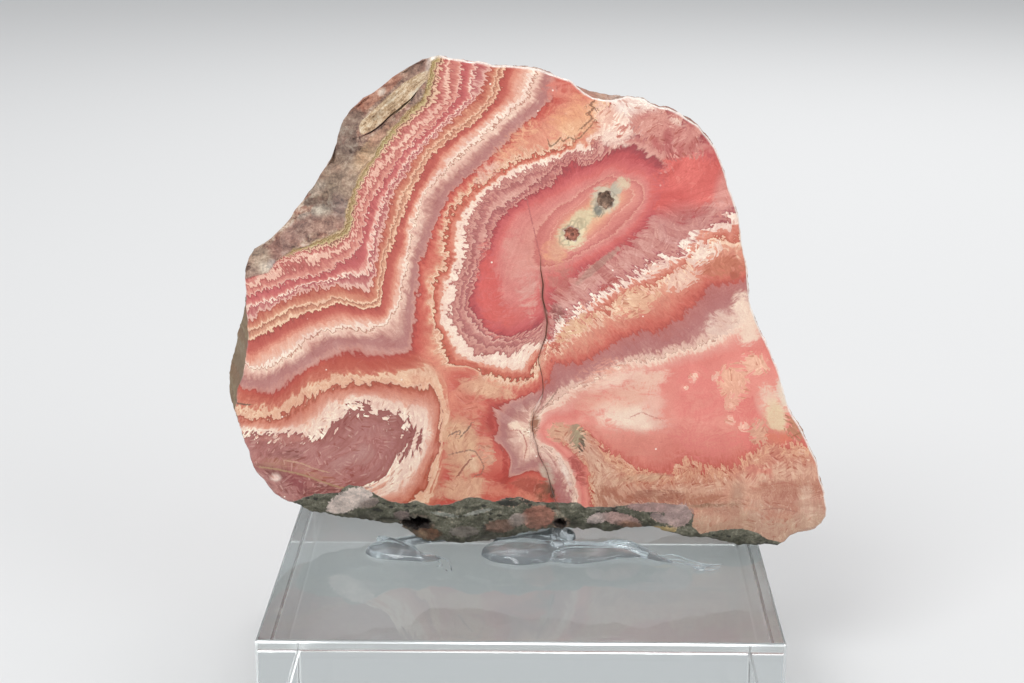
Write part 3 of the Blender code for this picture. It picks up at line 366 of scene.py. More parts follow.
# Soft clouds of colour inside the polished layers.
CLOUDS: tuple[Patch, ...] = tuple(Patch(*row) for row in (
    # pink lobe right of the crack
    (20, 33, 9, 7, "ecb09e", 0.75), (23, 28.6, 6.6, 2.9, "f9e4d2", 1.1, -8),
    (20.4, 37, 6, 1.4, "f8ddcc", 0.8, 18), (27.4, 31.6, 2.2, 4.6, "eebdae", 0.8, 10),
    (25.5, 36.6, 5, 2, "f2ccba", 0.9, 15), (22, 33, 4, 2, "f1c4b0", 0.8, 30),
    (37, 33, 7, 7, "ea8c84", 0.6), (37, 24, 9, 4, "e0827a", 0.6), (25, 22.5, 7, 3, "dc8b7c", 0.7, -15),
    (46.4, 28.3, 3.4, 6, "e5827a", 0.7), (50.8, 32.4, 2.2, 3.4, "efcfbc", 0.8, 14),
    (52.4, 28.8, 2, 3.4, "ead6b4", 1.1, 12), (53.6, 33.6, 1, 3.4, "eadccb", 0.9, 20),
    (52.6, 24.4, 3, 1.4, "dc7e66", 0.9, -6), (11.4, 17.6, 1.2, 3.6, "b85a52", 0.8, 22),
    (7.6, 25.4, 2, 1.8, "e0a58a", 0.8),
    # below the lobe
    (28.7, 11.6, 5.5, 1.1, "b07c68", 0.7), (46, 12, 5, 4, "dfb29a", 0.7),
    (36, 7.5, 6, 1.6, "d5a08a", 0.6), (54, 10, 5, 5, "c08c76", 0.7),
    (44.8, 10.4, 1.4, 4.6, "c3a48e", 0.7, -4), (40, 6.6, 4.6, 1.6, "cfa892", 0.7, 4),
    (39.5, 9.4, 6, 0.5, "a3826c", 0.7, 2), (51.8, 21, 2.2, 3, "cf8a74", 0.6, 10),
    (59.6, 10, 1.6, 4.6, "dcc0aa", 0.7, 8), (25, 15.4, 6, 0.8, "d8b094", 0.6, 4),
    (48, 17, 5, 2, "d98f7c", 0.5),
    # top right: white layer, pink crystals and coral body
    (18.2, 89.6, 3.4, 3.6, "fae6d8", 1.3, 8), (35.5, 85.8, 4, 1.4, "c98882", 0.7, -40),
    (34, 78.6, 6.6, 5.2, "de6f68", 1.3, 15), (30, 74.6, 4, 3.4, "d8645f", 0.9, -10),
    (40.9, 77.5, 2, 6, "dd9c93", 0.9, -15), (31.6, 69.4, 5.5, 3.8, "c98d88", 0.6, 15),
    (10.2, 91, 4.6, 4.8, "ecae88", 0.9), (9.6, 88.6, 4.4, 1.8, "f3c9a2", 0.7, 20),
    (-1.5, 86.5, 5, 2, "f0bb98", 0.5, 40), (7.2, 96.5, 3, 3.5, "e08b7c", 0.6),
    (-7.4, 80.2, 3, 1.8, "efcdbd", 0.5, 45),
    # eye and hollows
    (-7, 55.7, 2.4, 8.4, "d9645f", 0.8, 6), (-3.5, 50.5, 3.5, 2.4, "db6d66", 0.7, -20),
    (-1, 63, 3, 5, "de9a90", 0.6), (1.2, 56, 2.4, 6, "dfa69c", 0.6),
    (7.6, 58, 3.2, 4.2, "c98077", 0.6), (6.9, 51.2, 1.5, 1.8, "8a4845", 0.5),
    (6.2, 63.2, 2.4, 2.6, "e9a98a", 0.8, 60), (16.4, 74.8, 2.4, 2.5, "d6cdb6", 1.2, 40),
    (18.6, 76.9, 1.9, 1.1, "c2bfae", 1, 45), (20, 78, 1.3, 1.2, "e2d0b4", 0.9, 40),
    (14.9, 72.4, 0.9, 1.2, "93958a", 1.1, 30), (11.9, 70.6, 2.3, 1.7, "e2d6b2", 1.2, 45),
    (9.5, 67.1, 2.6, 2.5, "e6dab8", 1.2), (6.6, 64, 1.4, 2.4, "e0ac92", 0.8),
    (15, 60.8, 5.6, 0.7, "bd8f84", 1.25, 42),
    # between the centres, and the lower left
    (18, 57.6, 3, 1, "b95550", 0.5, 35), (40.4, 60.8, 5, 2.4, "c87d62", 0.8, 10),
    (42.8, 59.2, 1.1, 0.9, "b05a45", 1), (-51, 17.5, 5, 4.6, "8f5a54", 0.6, -20),
    (-43.5, 12.2, 7, 2.8, "8a5450", 0.6, -12), (-47.5, 14.6, 2.4, 2.6, "93474a", 0.7),
    (-52, 15, 1, 0.8, "f6e6dc", 1), (-50.5, 18.4, 5, 1, "c09078", 0.6, -5),
    (-44, 15.8, 5, 0.9, "c48f7c", 0.6, -18), (-50, 23.6, 5, 1.2, "c58a80", 0.6, -4),
    (-6.9, 27.2, 0.8, 2.4, "b8443a", 0.9), (-3.8, 18.4, 0.7, 3, "b8443a", 0.8),
    (0.8, 13.6, 3.2, 1.8, "b95f50", 0.9, -5), (4.4, 12.2, 1.7, 2.2, "8a5a46", 0.7),
    (6, 12, 0.6, 2, "5c3e31", 0.9, 10), (2.4, 27.5, 1, 2.6, "a06a52", 0.8),
    (-1.2, 26.6, 1.8, 1, "f6dcc8", 0.8), (8.4, 17.4, 0.6, 3.6, "fdf2e6", 0.9, 22),
    (0.5, 22.3, 0.7, 2.8, "f3d6c2", 0.8), (5, 16.6, 1.2, 2.4, "cbb6a6", 0.8, 30),
    (-12.8, 22.6, 3.6, 6.4, "dfb292", 1.2), (-10.3, 18.5, 1.8, 2.2, "e3bda0", 0.9),
    (-8, 21, 1.6, 4.4, "dd9a80", 0.8), (-12, 32, 4, 4, "df8f78", 0.8),
    (-8.2, 34.8, 5.4, 1.9, "e8bb9c", 1, -14), (-12.4, 12.8, 5.2, 2.6, "dfae92", 1.1, 6),
    (-5.4, 12.4, 3, 1.6, "d98470", 0.8, -8), (44.4, 52.5, 1.8, 3, "f8e6d4", 0.9),
    (46, 48.4, 2.4, 4, "f6e0cd", 0.8), (40.7, 49, 4, 2.6, "e9cfc2", 0.6, 25),
))
# Patches with a feathery edge of laths: crystal clusters, and pieces in the host rock.
FRAGMENTS: tuple[Patch, ...] = tuple(Patch(*row) for row in (
    (47.6, 40.4, 2.6, 2, "f4c6ac", 1.1, -20), (43.4, 36.4, 2.7, 3.4, "f2bfa4", 1.2, 10),
    (43.2, 32.2, 1.2, 1.8, "f2c0a8", 1, -20), (43, 28.2, 0.9, 1, "f8c8b4", 0.9, 20),
    (45.8, 26.8, 0.9, 1, "f8c8b4", 0.9, 50), (35.2, 37.4, 1.1, 0.8, "fad0bc", 1, 50),
    (33.4, 35.2, 0.6, 0.5, "fad0bc", 1, 20), (39.6, 37.6, 0.9, 0.6, "fad0bc", 1, 70),
    (56.6, 27, 2, 2.8, "c08a6a", 0.9, 20), (56, 35.6, 1, 1.6, "b5603f", 1, 20),
    (49, 25.6, 1.8, 2.6, "dfb096", 1), (11.2, 24.3, 1.5, 2.3, "a79a7c", 1, 8),
    (12.2, 22.9, 0.7, 1.6, "4c4436", 0.8, -10), (7.4, 25.4, 2.2, 1.8, "dcae92", 1),
    (23, 53.4, 4.2, 2.5, "eec6a6", 1, 25), (32.3, 58.3, 3.4, 2, "f2d0be", 1, 25),
    (27, 60.4, 2.8, 1.2, "f3d6c8", 0.9, 35), (36.5, 63.6, 3.4, 1.8, "f8e4d6", 1, 30),
    (10.8, 48, 4.4, 1.6, "ecc7a4", 0.9, 35), (-7.5, 20.5, 1.4, 2.2, "d8a58c", 0.7, 30),
    (21.6, 94.2, 4.2, 2.4, "fef8ef", 1.4, -14), (16.6, 91.6, 2, 2.6, "f3cbb8", 0.9, 30),
    (26.2, 89.4, 4.6, 2.8, "d99c90", 1.4, -28), (31.4, 87.2, 4.4, 2.4, "d28f86", 1.3, -36),
    (28.9, 86.2, 0.9, 2.6, "bd6a68", 1.2, 4), (26.6, 86, 0.7, 1.8, "c4706c", 1.1, 30),
    (31, 84.6, 0.8, 2, "c4706c", 1.1, -25), (33.7, 85.8, 0.8, 1.6, "b9645f", 1, -35),
    (24.2, 91.6, 1.2, 0.5, "c98079", 1, 30), (19.6, 88.6, 1.4, 0.5, "d99a8e", 1, 60),
    (30.4, 90.6, 1.6, 0.6, "f3d9cb", 1, -30),
    # clasts in the host rock
    (-36.6, 10, 4.4, 2, "d9c6bc", 1.2, 26), (-32.6, 9.4, 2, 1, "8b7a72", 0.9, 20),
    (3.1, 6.4, 3.1, 2.4, "a26a58", 1.1, 10), (-4.8, 4.2, 3, 1.3, "7f5c4c", 1, 8),
    (-1.2, 5.8, 1.6, 1.4, "b5a49a", 0.9, 20), (-25.6, 6.6, 1.6, 1.1, "8d7a74", 0.9),
    (15.5, 6.2, 2, 1.1, "cdb9b2", 1, 20), (20.6, 6, 3.6, 1.3, "bd9990", 1.1, -14),
    (22.6, 4.6, 2.2, 0.9, "b98468", 1, -10), (27.4, 8.9, 5, 0.9, "ae8a84", 1.1, -2),
    (32.6, 7.2, 2.6, 2.2, "b59892", 1.1, 20), (28.6, 6.6, 1.8, 0.8, "98827e", 1, -24),
    (29.3, 3.9, 3, 0.7, "c4a873", 0.9), (-20.4, 2.6, 2.8, 1.3, "8c5a3e", 1, -10),
    (-21.4, 2.3, 1.1, 0.6, "d9b08a", 0.9, -20), (-12.5, 3, 3, 1.2, "7a7068", 0.8),
    (-3, 9.6, 2, 0.6, "1c1b12", 1.2, -4), (0.2, 10.2, 1.6, 0.35, "2a2820", 1, -12),
    (-9.5, 7.6, 3.4, 0.5, "9a9a90", 0.7, 15), (-16.5, 7, 3, 0.5, "8a8c82", 0.7, -10),
))
# Stains and lumps of the rind, and one painted shadow above a ledge.
RIND_STAINS: tuple[Patch, ...] = tuple(Patch(*row) for row in (
    (-27.3, 97.9, 9, 1.3, "b5745c", 1, 43), (-23.6, 100.4, 1.6, 0.7, "dcb8a0", 1, 40),
    (-28.5, 95.9, 0.8, 0.5, "eedccb", 1.2, 40), (-33.8, 91.2, 1, 0.6, "3d2f2a", 1.1, 30),
    (-38.3, 84, 1, 1.6, "453b38", 1, 20), (-36.6, 83, 1.6, 0.7, "5a4d46", 1, -20),
    (-39.4, 80.6, 1, 0.7, "cfc4b4", 1.1, 30), (-43.9, 73.4, 0.9, 0.6, "332824", 1, 30),
    (-38.6, 70.6, 2, 0.5, "6a4a40", 1, -15), (-45, 70.4, 1.4, 0.7, "d8c6b6", 1, 30),
    (-21, 100.9, 3, 1.4, "a88474", 0.8, 30), (-36.3, 86.3, 2.4, 5, "75645a", 0.95, 12),
    (-35, 90.5, 2.2, 2, "8f7769", 0.8, 40), (-31, 84.3, 5.5, 1.5, "cba984", 0.9, 48),
    (-28.5, 87.6, 3.2, 1, "c08a72", 0.8, 45), (-37.5, 79, 3.6, 4.2, "ac937e", 0.9, 40),
    (-40, 76, 3, 2.6, "93836f", 0.8, 40), (-42.2, 76.2, 1.8, 1.2, "bdb1a0", 1, 30),
    # the dark strip at (-40.6, 73.4) is a painted shadow above the pale ledge at (-41.2, 71.6)
    (-40.6, 73.4, 2.6, 0.7, "4d3a30", 1.3, 5), (-41.2, 71.6, 1.9, 1.2, "c2b8a8", 1.1, 10),
    (-37, 72.5, 1.6, 3, "8b7a74", 0.8, 20), (-41, 69.3, 4.5, 1.6, "b2897a", 0.8, 10),
    (-46.5, 67, 4.5, 1.6, "a8857a", 0.9, 38), (-49.5, 64.2, 3, 1.6, "997067", 0.8, 30),
    (-54, 61.5, 2.4, 2.2, "b39d88", 0.9, 40), (-55.2, 57, 1.6, 3, "a98a7c", 0.8, 0),
    (-52.3, 60, 1.6, 1, "efe0cc", 1, -30), (-50.8, 60.8, 1.2, 0.9, "c4b9b4", 0.9, -30),
    (-49.8, 59.2, 1.8, 0.9, "6f463e", 0.9, 20), (-52, 57.2, 1.8, 1, "b0705a", 0.8, 30),
))


class Hollow(Patch):
    """A hollow that the CAD cuts as a plain oval; its strength is the share of its depth kept."""

    def share(self, spots: np.ndarray, reach: float) -> np.ndarray:
        """Return 1 for spots in the hollow, falling to 0 at a reach in half widths."""
        size = np.hypot((spots[:, 0] - self.x) / self.half_w, (spots[:, 1] - self.h) / self.half_h)
        return np.clip((reach - size) / 0.25, 0, 1)


HOLLOWS: tuple[Hollow, ...] = tuple(Hollow(*row) for row in (
    (16.5, 74.5, 1.7, 1.9, "a98a76", 0.3), (9.6, 67.6, 1.7, 1.6, "bd7a66", 0.22),
    # The last two are notches at the foot, lined near black: painted shade in their recesses.
    (-22.3, 5, 3, 1.5, "2c211b", 0.9), (7.9, 5.2, 1.4, 1.2, "3a2a22", 0.9),
))
# Half width of the open crack by height above the block.
GAPE: Path = (
    (5, 0), (9, 0.03), (20, 0.05), (30, 0.04), (42, 0.05), (45.5, 0.12), (52, 0.17), (57, 0.15),
    (60, 0.06), (63, 0.03), (64.5, 0),
)
# Crevice under the splinter of host rock.
CREVICE: Path = (
    (-33.2, 87), (-30.5, 88.2), (-28.4, 89.6), (-27.3, 90.9), (-25.7, 92.3), (-24.1, 93.7),
    (-22.4, 95), (-21.1, 96.7), (-20.5, 97.8),
)


@dataclass(frozen=True)
class Seam:
    """A thin line in the face: a dendrite, a healed fracture or the edge of a fold.

    Attributes:
        path: Corners, mm.
        weight: 1 for a line 0.7 mm wide, less for a finer one.
        colour: sRGB hex colour.
    """

    path: Path
    weight: float
    colour: str


SEAMS: tuple[Seam, ...] = (
    Seam(((14, 94.6), (13, 94), (14.2, 93.2), (12.8, 92.2), (13.8, 91.2), (12.4, 90), (11.6, 89.2)),
         0.42, "7d4f36"),
    Seam(((4.9, 86.3), (5.3, 85.3), (6.5, 86.2), (7.3, 87.2), (7.9, 86.4), (9.1, 87.4), (10.1, 86.8),
          (11.3, 87.2), (12.4, 88.6), (13.4, 89.6)), 0.36, "7d5338"),
    Seam(((0.5, 76.6), (0.9, 73.5), (1.8, 69.7), (2.7, 65.9), (3.3, 63.2)), 0.26, "b5605c"),
    Seam(((-15.1, 20.5), (-13.2, 20.9), (-11.1, 21.4), (-9.9, 21), (-8.8, 19.2), (-8.2, 17.7),
          (-8.8, 16.1), (-9.9, 15.7)), 0.3, "8c6250"),
    Seam(((-13.5, 15.9), (-12.6, 17.4), (-11.3, 19)), 0.5, "8a3a2c"),
    Seam(((-15.1, 24.7), (-14.2, 25.3), (-13.4, 25.5)), 0.36, "6e4c3e"),
    Seam(((-13, 24.4), (-11.9, 25.5), (-10.9, 26.9)), 0.36, "6e4c3e"),
    Seam(((7, 34.5), (5.9, 32.8), (4.9, 31.5), (3.9, 30.6)), 0.3, "9a6f60"),
    Seam(((-1.9, 25.8), (-0.9, 25.8), (0.1, 24.5), (0.8, 22.3), (0.2, 19.9)), 0.28, "c06a60"),
    Seam(((22.6, 28.9), (24.6, 29.9), (26.4, 29), (28.2, 28.4)), 0.3, "d0887a"),
    Seam(((52, 14.2), (55.2, 14.6), (57.8, 13.6)), 0.3, "b36a56"),
    Seam(((50.6, 8.6), (54, 8.9), (57, 8.2)), 0.28, "a8705e"),
    Seam(((56, 24.8), (58.4, 26), (60.6, 25.4)), 0.4, "a2623f"),
    Seam(((-60.5, 31.6), (-58.9, 31.2), (-57, 31)), 0.4, "4a4436"),
    Seam(((-55.2, 17.4), (-51.5, 16.9), (-47.8, 16.1), (-45, 15.3), (-42.3, 14.2), (-39, 13.1),
          (-36.2, 12.5)), 0.5, "b08c66"),
    Seam(((-49.6, 18.9), (-46.4, 18.2), (-43.6, 17), (-41.2, 16.4)), 0.36, "c9a083"),
)


def srgb(code: str) -> tuple[float, float, float, float]:
    """Turn a six-digit sRGB hex colour into a linear RGBA colour.

    Args:
        code: Six hex digits.

    Returns:
        Linear red, green and blue, and an alpha of 1.
    """
    values = (int(code[i:i + 2], 16) / 255.0 for i in (0, 2, 4))
    linear = (v / 12.92 if v <= 0.04045 else ((v + 0.055) / 1.055) ** 2.4 for v in values)
    return (*linear, 1.0)


def eased(value: Any, start: float, end: float) -> Any:
    """Return 0 to 1, with soft ends, as a number or an array goes from start to end."""
    t = np.clip((value - start) / (end - start), 0.0, 1.0)
    return t * t * (3.0 - 2.0 * t)


# ---- plane geometry ------------------------------------------------------------------------------
def nearest(spots: np.ndarray, path: Path) -> tuple[np.ndarray, np.ndarray]:
    """Find each spot's signed distance to a path and the nearest point of the path.

    Args:
        spots: (x, h) rows, mm.
        path: Corners of the path, mm.

    Returns:
        Distances in mm, negative on the right-hand side of the path, and (x, h) rows.
    """
    best = np.full(len(spots), 1e9)
    foot = np.zeros_like(spots)
    for a, b in zip(np.array(path[:-1], float), np.array(path[1:], float)):
        along = b - a
        t = np.clip(((spots - a) @ along) / max(float(along @ along), TINY), 0.0, 1.0)
        near = a + t[:, None] * along
        away = spots - near
        size = np.hypot(*away.T)
        side = np.where(along[0] * away[:, 1] - along[1] * away[:, 0] < 0, -1.0, 1.0)
        closer = size < np.abs(best) - TINY
        best = np.where(closer, size * side, best)
        foot = np.where(closer[:, None], near, foot)
    return best, foot


def inside(spots: np.ndarray, edges: Iterable[Any]) -> np.ndarray:
    """Tell which spots lie inside closed outlines.

    Args:
        spots: (x, h) rows, mm.
        edges: Both ends of each edge of the outlines, in any order.

    Returns:
        True for each spot inside.
    """
    result = np.zeros(len(spots), bool)
    x, h = spots.T
    for (x0, h0), (x1, h1) in edges:
        if h0 != h1:
            crosses = (h0 > h) != (h1 > h)
            result ^= crosses & (x < (x1 - x0) * (h - h0) / (h1 - h0) + x0)
    return result


def signed_distance(spots: np.ndarray, ring: Path) -> np.ndarray:
    """Measure how far spots are from a closed ring.

    Args:
        spots: (x, h) rows, mm.
        ring: Corners of the ring, mm.

    Returns:
        Distances in mm, positive inside the ring.
    """
    closed = ring + ring[:1]
    distance = np.abs(nearest(spots, closed)[0])
    return np.where(inside(spots, zip(ring, closed[1:])), distance, -distance)


@dataclass
class GrowthField:
    """Growth level over the face, with lengths along and across the bands, on a grid.

    Attributes:
        spacing: Grid step, mm.
        low: Corner of the grid with the smallest x and h, mm.
        high: Opposite corner, mm.
        knot_gap: Largest gap between the points that a growth line gives the spline, mm.
        slack: How far the spline may miss a growth line, so that it stays smooth.
        most_steps: Most steps of the solution of a length.
        residue: Squared error at which a length is taken as solved.
    """

    spacing: float = 0.5
    low: Spot = (-64.0, -2.0)
    high: Spot = (68.0, 106.0)
    knot_gap: float = 2.5
    slack: float = 0.3
    most_steps: int = 1400
    residue: float = 1e-6

    def __post_init__(self) -> None:
        """Solve the level and both lengths on the grid."""
        self.xs = np.arange(self.low[0], self.high[0] + 0.1, self.spacing)
        self.hs = np.arange(self.low[1], self.high[1] + 0.1, self.spacing)
        level = self._spline()
        slope_h, slope_x = np.gradient(self._blur(level, 1.5), self.spacing)
        slope_x = self._blur(slope_x, 1.2)
        slope_h = self._blur(slope_h, 1.2)
        steep = np.hypot(slope_x, slope_h) + TINY
        open_x = np.ones((len(self.hs), len(self.xs) - 1))
        open_h = np.ones((len(self.hs) - 1, len(self.xs)))
        across = self._integrate(slope_x / steep, slope_h / steep, open_x, open_h)
        self._close_links(open_x, open_h)
        along = self._integrate(-slope_h / steep, slope_x / steep, open_x, open_h)
        self.grids = {"level": level, "along": along, "across": across, "pace": steep}

    def _knots(self) -> tuple[np.ndarray, list[float]]:
        """Spread points over the growth lines.

        Returns:
            (x, h) rows in mm, and the level of each.
        """
        spots: list[np.ndarray] = []
        values: list[float] = []
        for level, path in GROWTH_LINES:
            points = np.array(path, float)
            run = np.r_[0.0, np.cumsum(np.hypot(*np.diff(points, axis=0).T))]
            count = max(1, int(run[-1] / self.knot_gap) + 1)
            stops = np.linspace(0.0, run[-1], count + (len(path) > 1))
            spots += [np.array([np.interp(s, run, points[:, k]) for k in (0, 1)]) for s in stops]
            values += [level] * len(stops)
        return np.array(spots), values

    def _spline(self) -> np.ndarray:
        """Return the level on the grid by a thin-plate spline through the growth lines."""
        knots, values = self._knots()
        count = len(knots)
        system = np.zeros((count + 3, count + 3))
        square = ((knots[:, None] - knots[None]) ** 2).sum(-1)
        system[:count, :count] = 0.5 * square * np.log(square + TINY) + self.slack * np.eye(count)
        system[:count, count] = system[count, :count] = 1.0
        system[:count, count + 1:] = knots
        system[count + 1:, :count] = knots.T
        weights = np.linalg.solve(system, np.r_[values, 0.0, 0.0, 0.0])
        grid = np.stack(np.meshgrid(self.xs, self.hs), -1).reshape(-1, 2)
        parts = []
        for part in np.array_split(grid, 16):
            square = ((part[:, None] - knots[None]) ** 2).sum(-1)
            bent = (0.5 * square * np.log(square + TINY)) @ weights[:count]
            parts.append(bent + weights[count] + part @ weights[count + 1:])
        return np.concatenate(parts).reshape(len(self.hs), len(self.xs))

    @staticmethod
    def _blur(grid: np.ndarray, sigma: float) -> np.ndarray:
        """Smooth a grid.

        Args:
            grid: Values on the grid.
            sigma: Width of the Gaussian, in grid steps.

        Returns:
            The smoothed values.
        """
        reach = int(3 * sigma) + 1
        kernel = np.exp(-0.5 * (np.arange(-reach, reach + 1) / sigma) ** 2)
        kernel /= kernel.sum()
        for axis in (0, 1):
            wide = np.pad(grid, [(reach, reach) if k == axis else (0, 0) for k in (0, 1)], "edge")
            size = grid.shape[axis]
            grid = sum(w * np.take(wide, np.arange(k, k + size), axis) for k, w in enumerate(kernel))
        return grid

    def _close_links(self, open_x: np.ndarray, open_h: np.ndarray) -> None:
        """Cut the grid links that cross the fault, so that lengths need not agree across it.

        Args:
            open_x: 1 for each link along x, set to 0 where it is cut.
            open_h: 1 for each link along h, set to 0 where it is cut.
        """
        path = np.array(FAULT[1:], float)[::-1]
        cut = np.searchsorted(self.xs, np.interp(self.hs, path[:, 1], path[:, 0])) - 1
        for row, h in enumerate(self.hs[:-1]):
            if h < path[-1, 1]:
                open_x[row, cut[row]] = 0.0
                first, last = sorted((cut[row], cut[row + 1]))
                open_h[row, first + 1:last + 1] = 0.0

    def _integrate(self, vx: np.ndarray, vh: np.ndarray, open_x: np.ndarray,
                   open_h: np.ndarray) -> np.ndarray:
        """Find the length whose slope is nearest to a direction field, by conjugate gradients.

        Args:
            vx: Wanted slope along x.
            vh: Wanted slope along h.
            open_x: 1 for each link along x that counts, else 0.
            open_h: 1 for each link along h that counts, else 0.

        Returns:
            The length on the grid, mm.
        """
        def gather(fx: np.ndarray, fh: np.ndarray) -> np.ndarray:
            """Add up at each grid point what the links along x (fx) and h (fh) carry to it."""
            total = np.zeros(vx.shape)
            total[:, 1:] += fx
            total[:, :-1] -= fx
            total[1:] += fh
            total[:-1] -= fh
            return total

        half = 0.5 * self.spacing
        rest = gather(half * (vx[:, 1:] + vx[:, :-1]) * open_x, half * (vh[1:] + vh[:-1]) * open_h)
        length = np.zeros(vx.shape)
        step = rest.copy()
        size = float((rest * rest).sum())
        for _ in range(self.most_steps):
            moved = gather(np.diff(step, axis=1) * open_x, np.diff(step, axis=0) * open_h)
            reach = size / max(float((step * moved).sum()), 1e-12)
            length += reach * step
            rest -= reach * moved
            new_size = float((rest * rest).sum())
            if new_size < self.residue:
                break
            step = rest + (new_size / size) * step
            size = new_size
        return length

    def at(self, name: str, spots: np.ndarray) -> np.ndarray:
        """Read one of the grids at the spots.

        Args:
            name: "level", "along", "across" or "pace".
            spots: (x, h) rows, mm.

        Returns:
            One value for each spot.
        """
        grid = self.grids[name]
        fx = np.clip((spots[:, 0] - self.low[0]) / self.spacing, 0, len(self.xs) - 1.001)
        fh = np.clip((spots[:, 1] - self.low[1]) / self.spacing, 0, len(self.hs) - 1.001)
        ix, ih = fx.astype(int), fh.astype(int)
        tx, th = fx - ix, fh - ih
        lower = grid[ih, ix] * (1 - tx) + grid[ih, ix + 1] * tx
        upper = grid[ih + 1, ix] * (1 - tx) + grid[ih + 1, ix + 1] * tx
        return lower * (1 - th) + upper * th


# ---- materials -----------------------------------------------------------------------------------
class Graph:
    """The node tree of one material."""

    def __init__(self, name: str) -> None:
        """Start a material with a Principled shader.

        Args:
            name: Name of the material.
        """
        self.material = bpy.data.materials.new(name)
        self.material.use_nodes = True
        self.tree = self.material.node_tree

    def add(self, kind: str, inputs: Mapping[Any, Any] | Sequence[Any] = (), out: Any = 0,
            stops: Iterable[tuple[float, str]] = (), **settings: Any) -> Any:
        """Add a node with its settings and links.

        Args:
            kind: Node type without "ShaderNode".
            inputs: Values or outputs to link, in the sockets' order or by socket name or number.
            out: Output to return, by name or number.
            stops: Positions and sRGB hex colours, for a colour ramp.
            **settings: Properties of the node.

        Returns:
            The chosen output socket.
        """
        node = self.tree.nodes.new("ShaderNode" + kind)
        for key, value in settings.items():
            setattr(node, key, value)
        pairs = inputs.items() if isinstance(inputs, Mapping) else enumerate(inputs)
        for key, value in pairs:
            self.plug(node.inputs[key], value)
        for i, (place, code) in enumerate(stops):
            elements = node.color_ramp.elements
            element = elements[i] if i < 2 else elements.new(1.0)
            element.position = place
            element.color = srgb(code)
        return node.outputs[out]

    def plug(self, socket: Any, value: Any) -> None:
        """Fill an input socket.

        Args:
            socket: The input.
            value: An output to link, or the socket's own value.
        """
        if isinstance(value, bpy.types.NodeSocket):
            self.tree.links.new(value, socket)
        else:
            socket.default_value = value

    def finish(self, inputs: Mapping[str, Any]) -> bpy.types.Material:
        """Fill the inputs of the Principled shader.

        Args:
            inputs: Values or outputs to link, by the input's name.

        Returns:
            The finished material.
        """
        for name, value in inputs.items():
            self.plug(self.tree.nodes["Principled BSDF"].inputs[name], value)
        return self.material


# Settings that many nodes share.
RGBA = {"out": 2, "data_type": "RGBA"}
SHADED = {**RGBA, "blend_type": "MULTIPLY"}
EASED = {"interpolation_type": "SMOOTHSTEP"}
FLAT = {"voronoi_dimensions": "2D"}
TIMES = {"operation": "MULTIPLY"}
TIMES_PLUS = {"operation": "MULTIPLY_ADD"}
LARGER = {"operation": "MAXIMUM"}


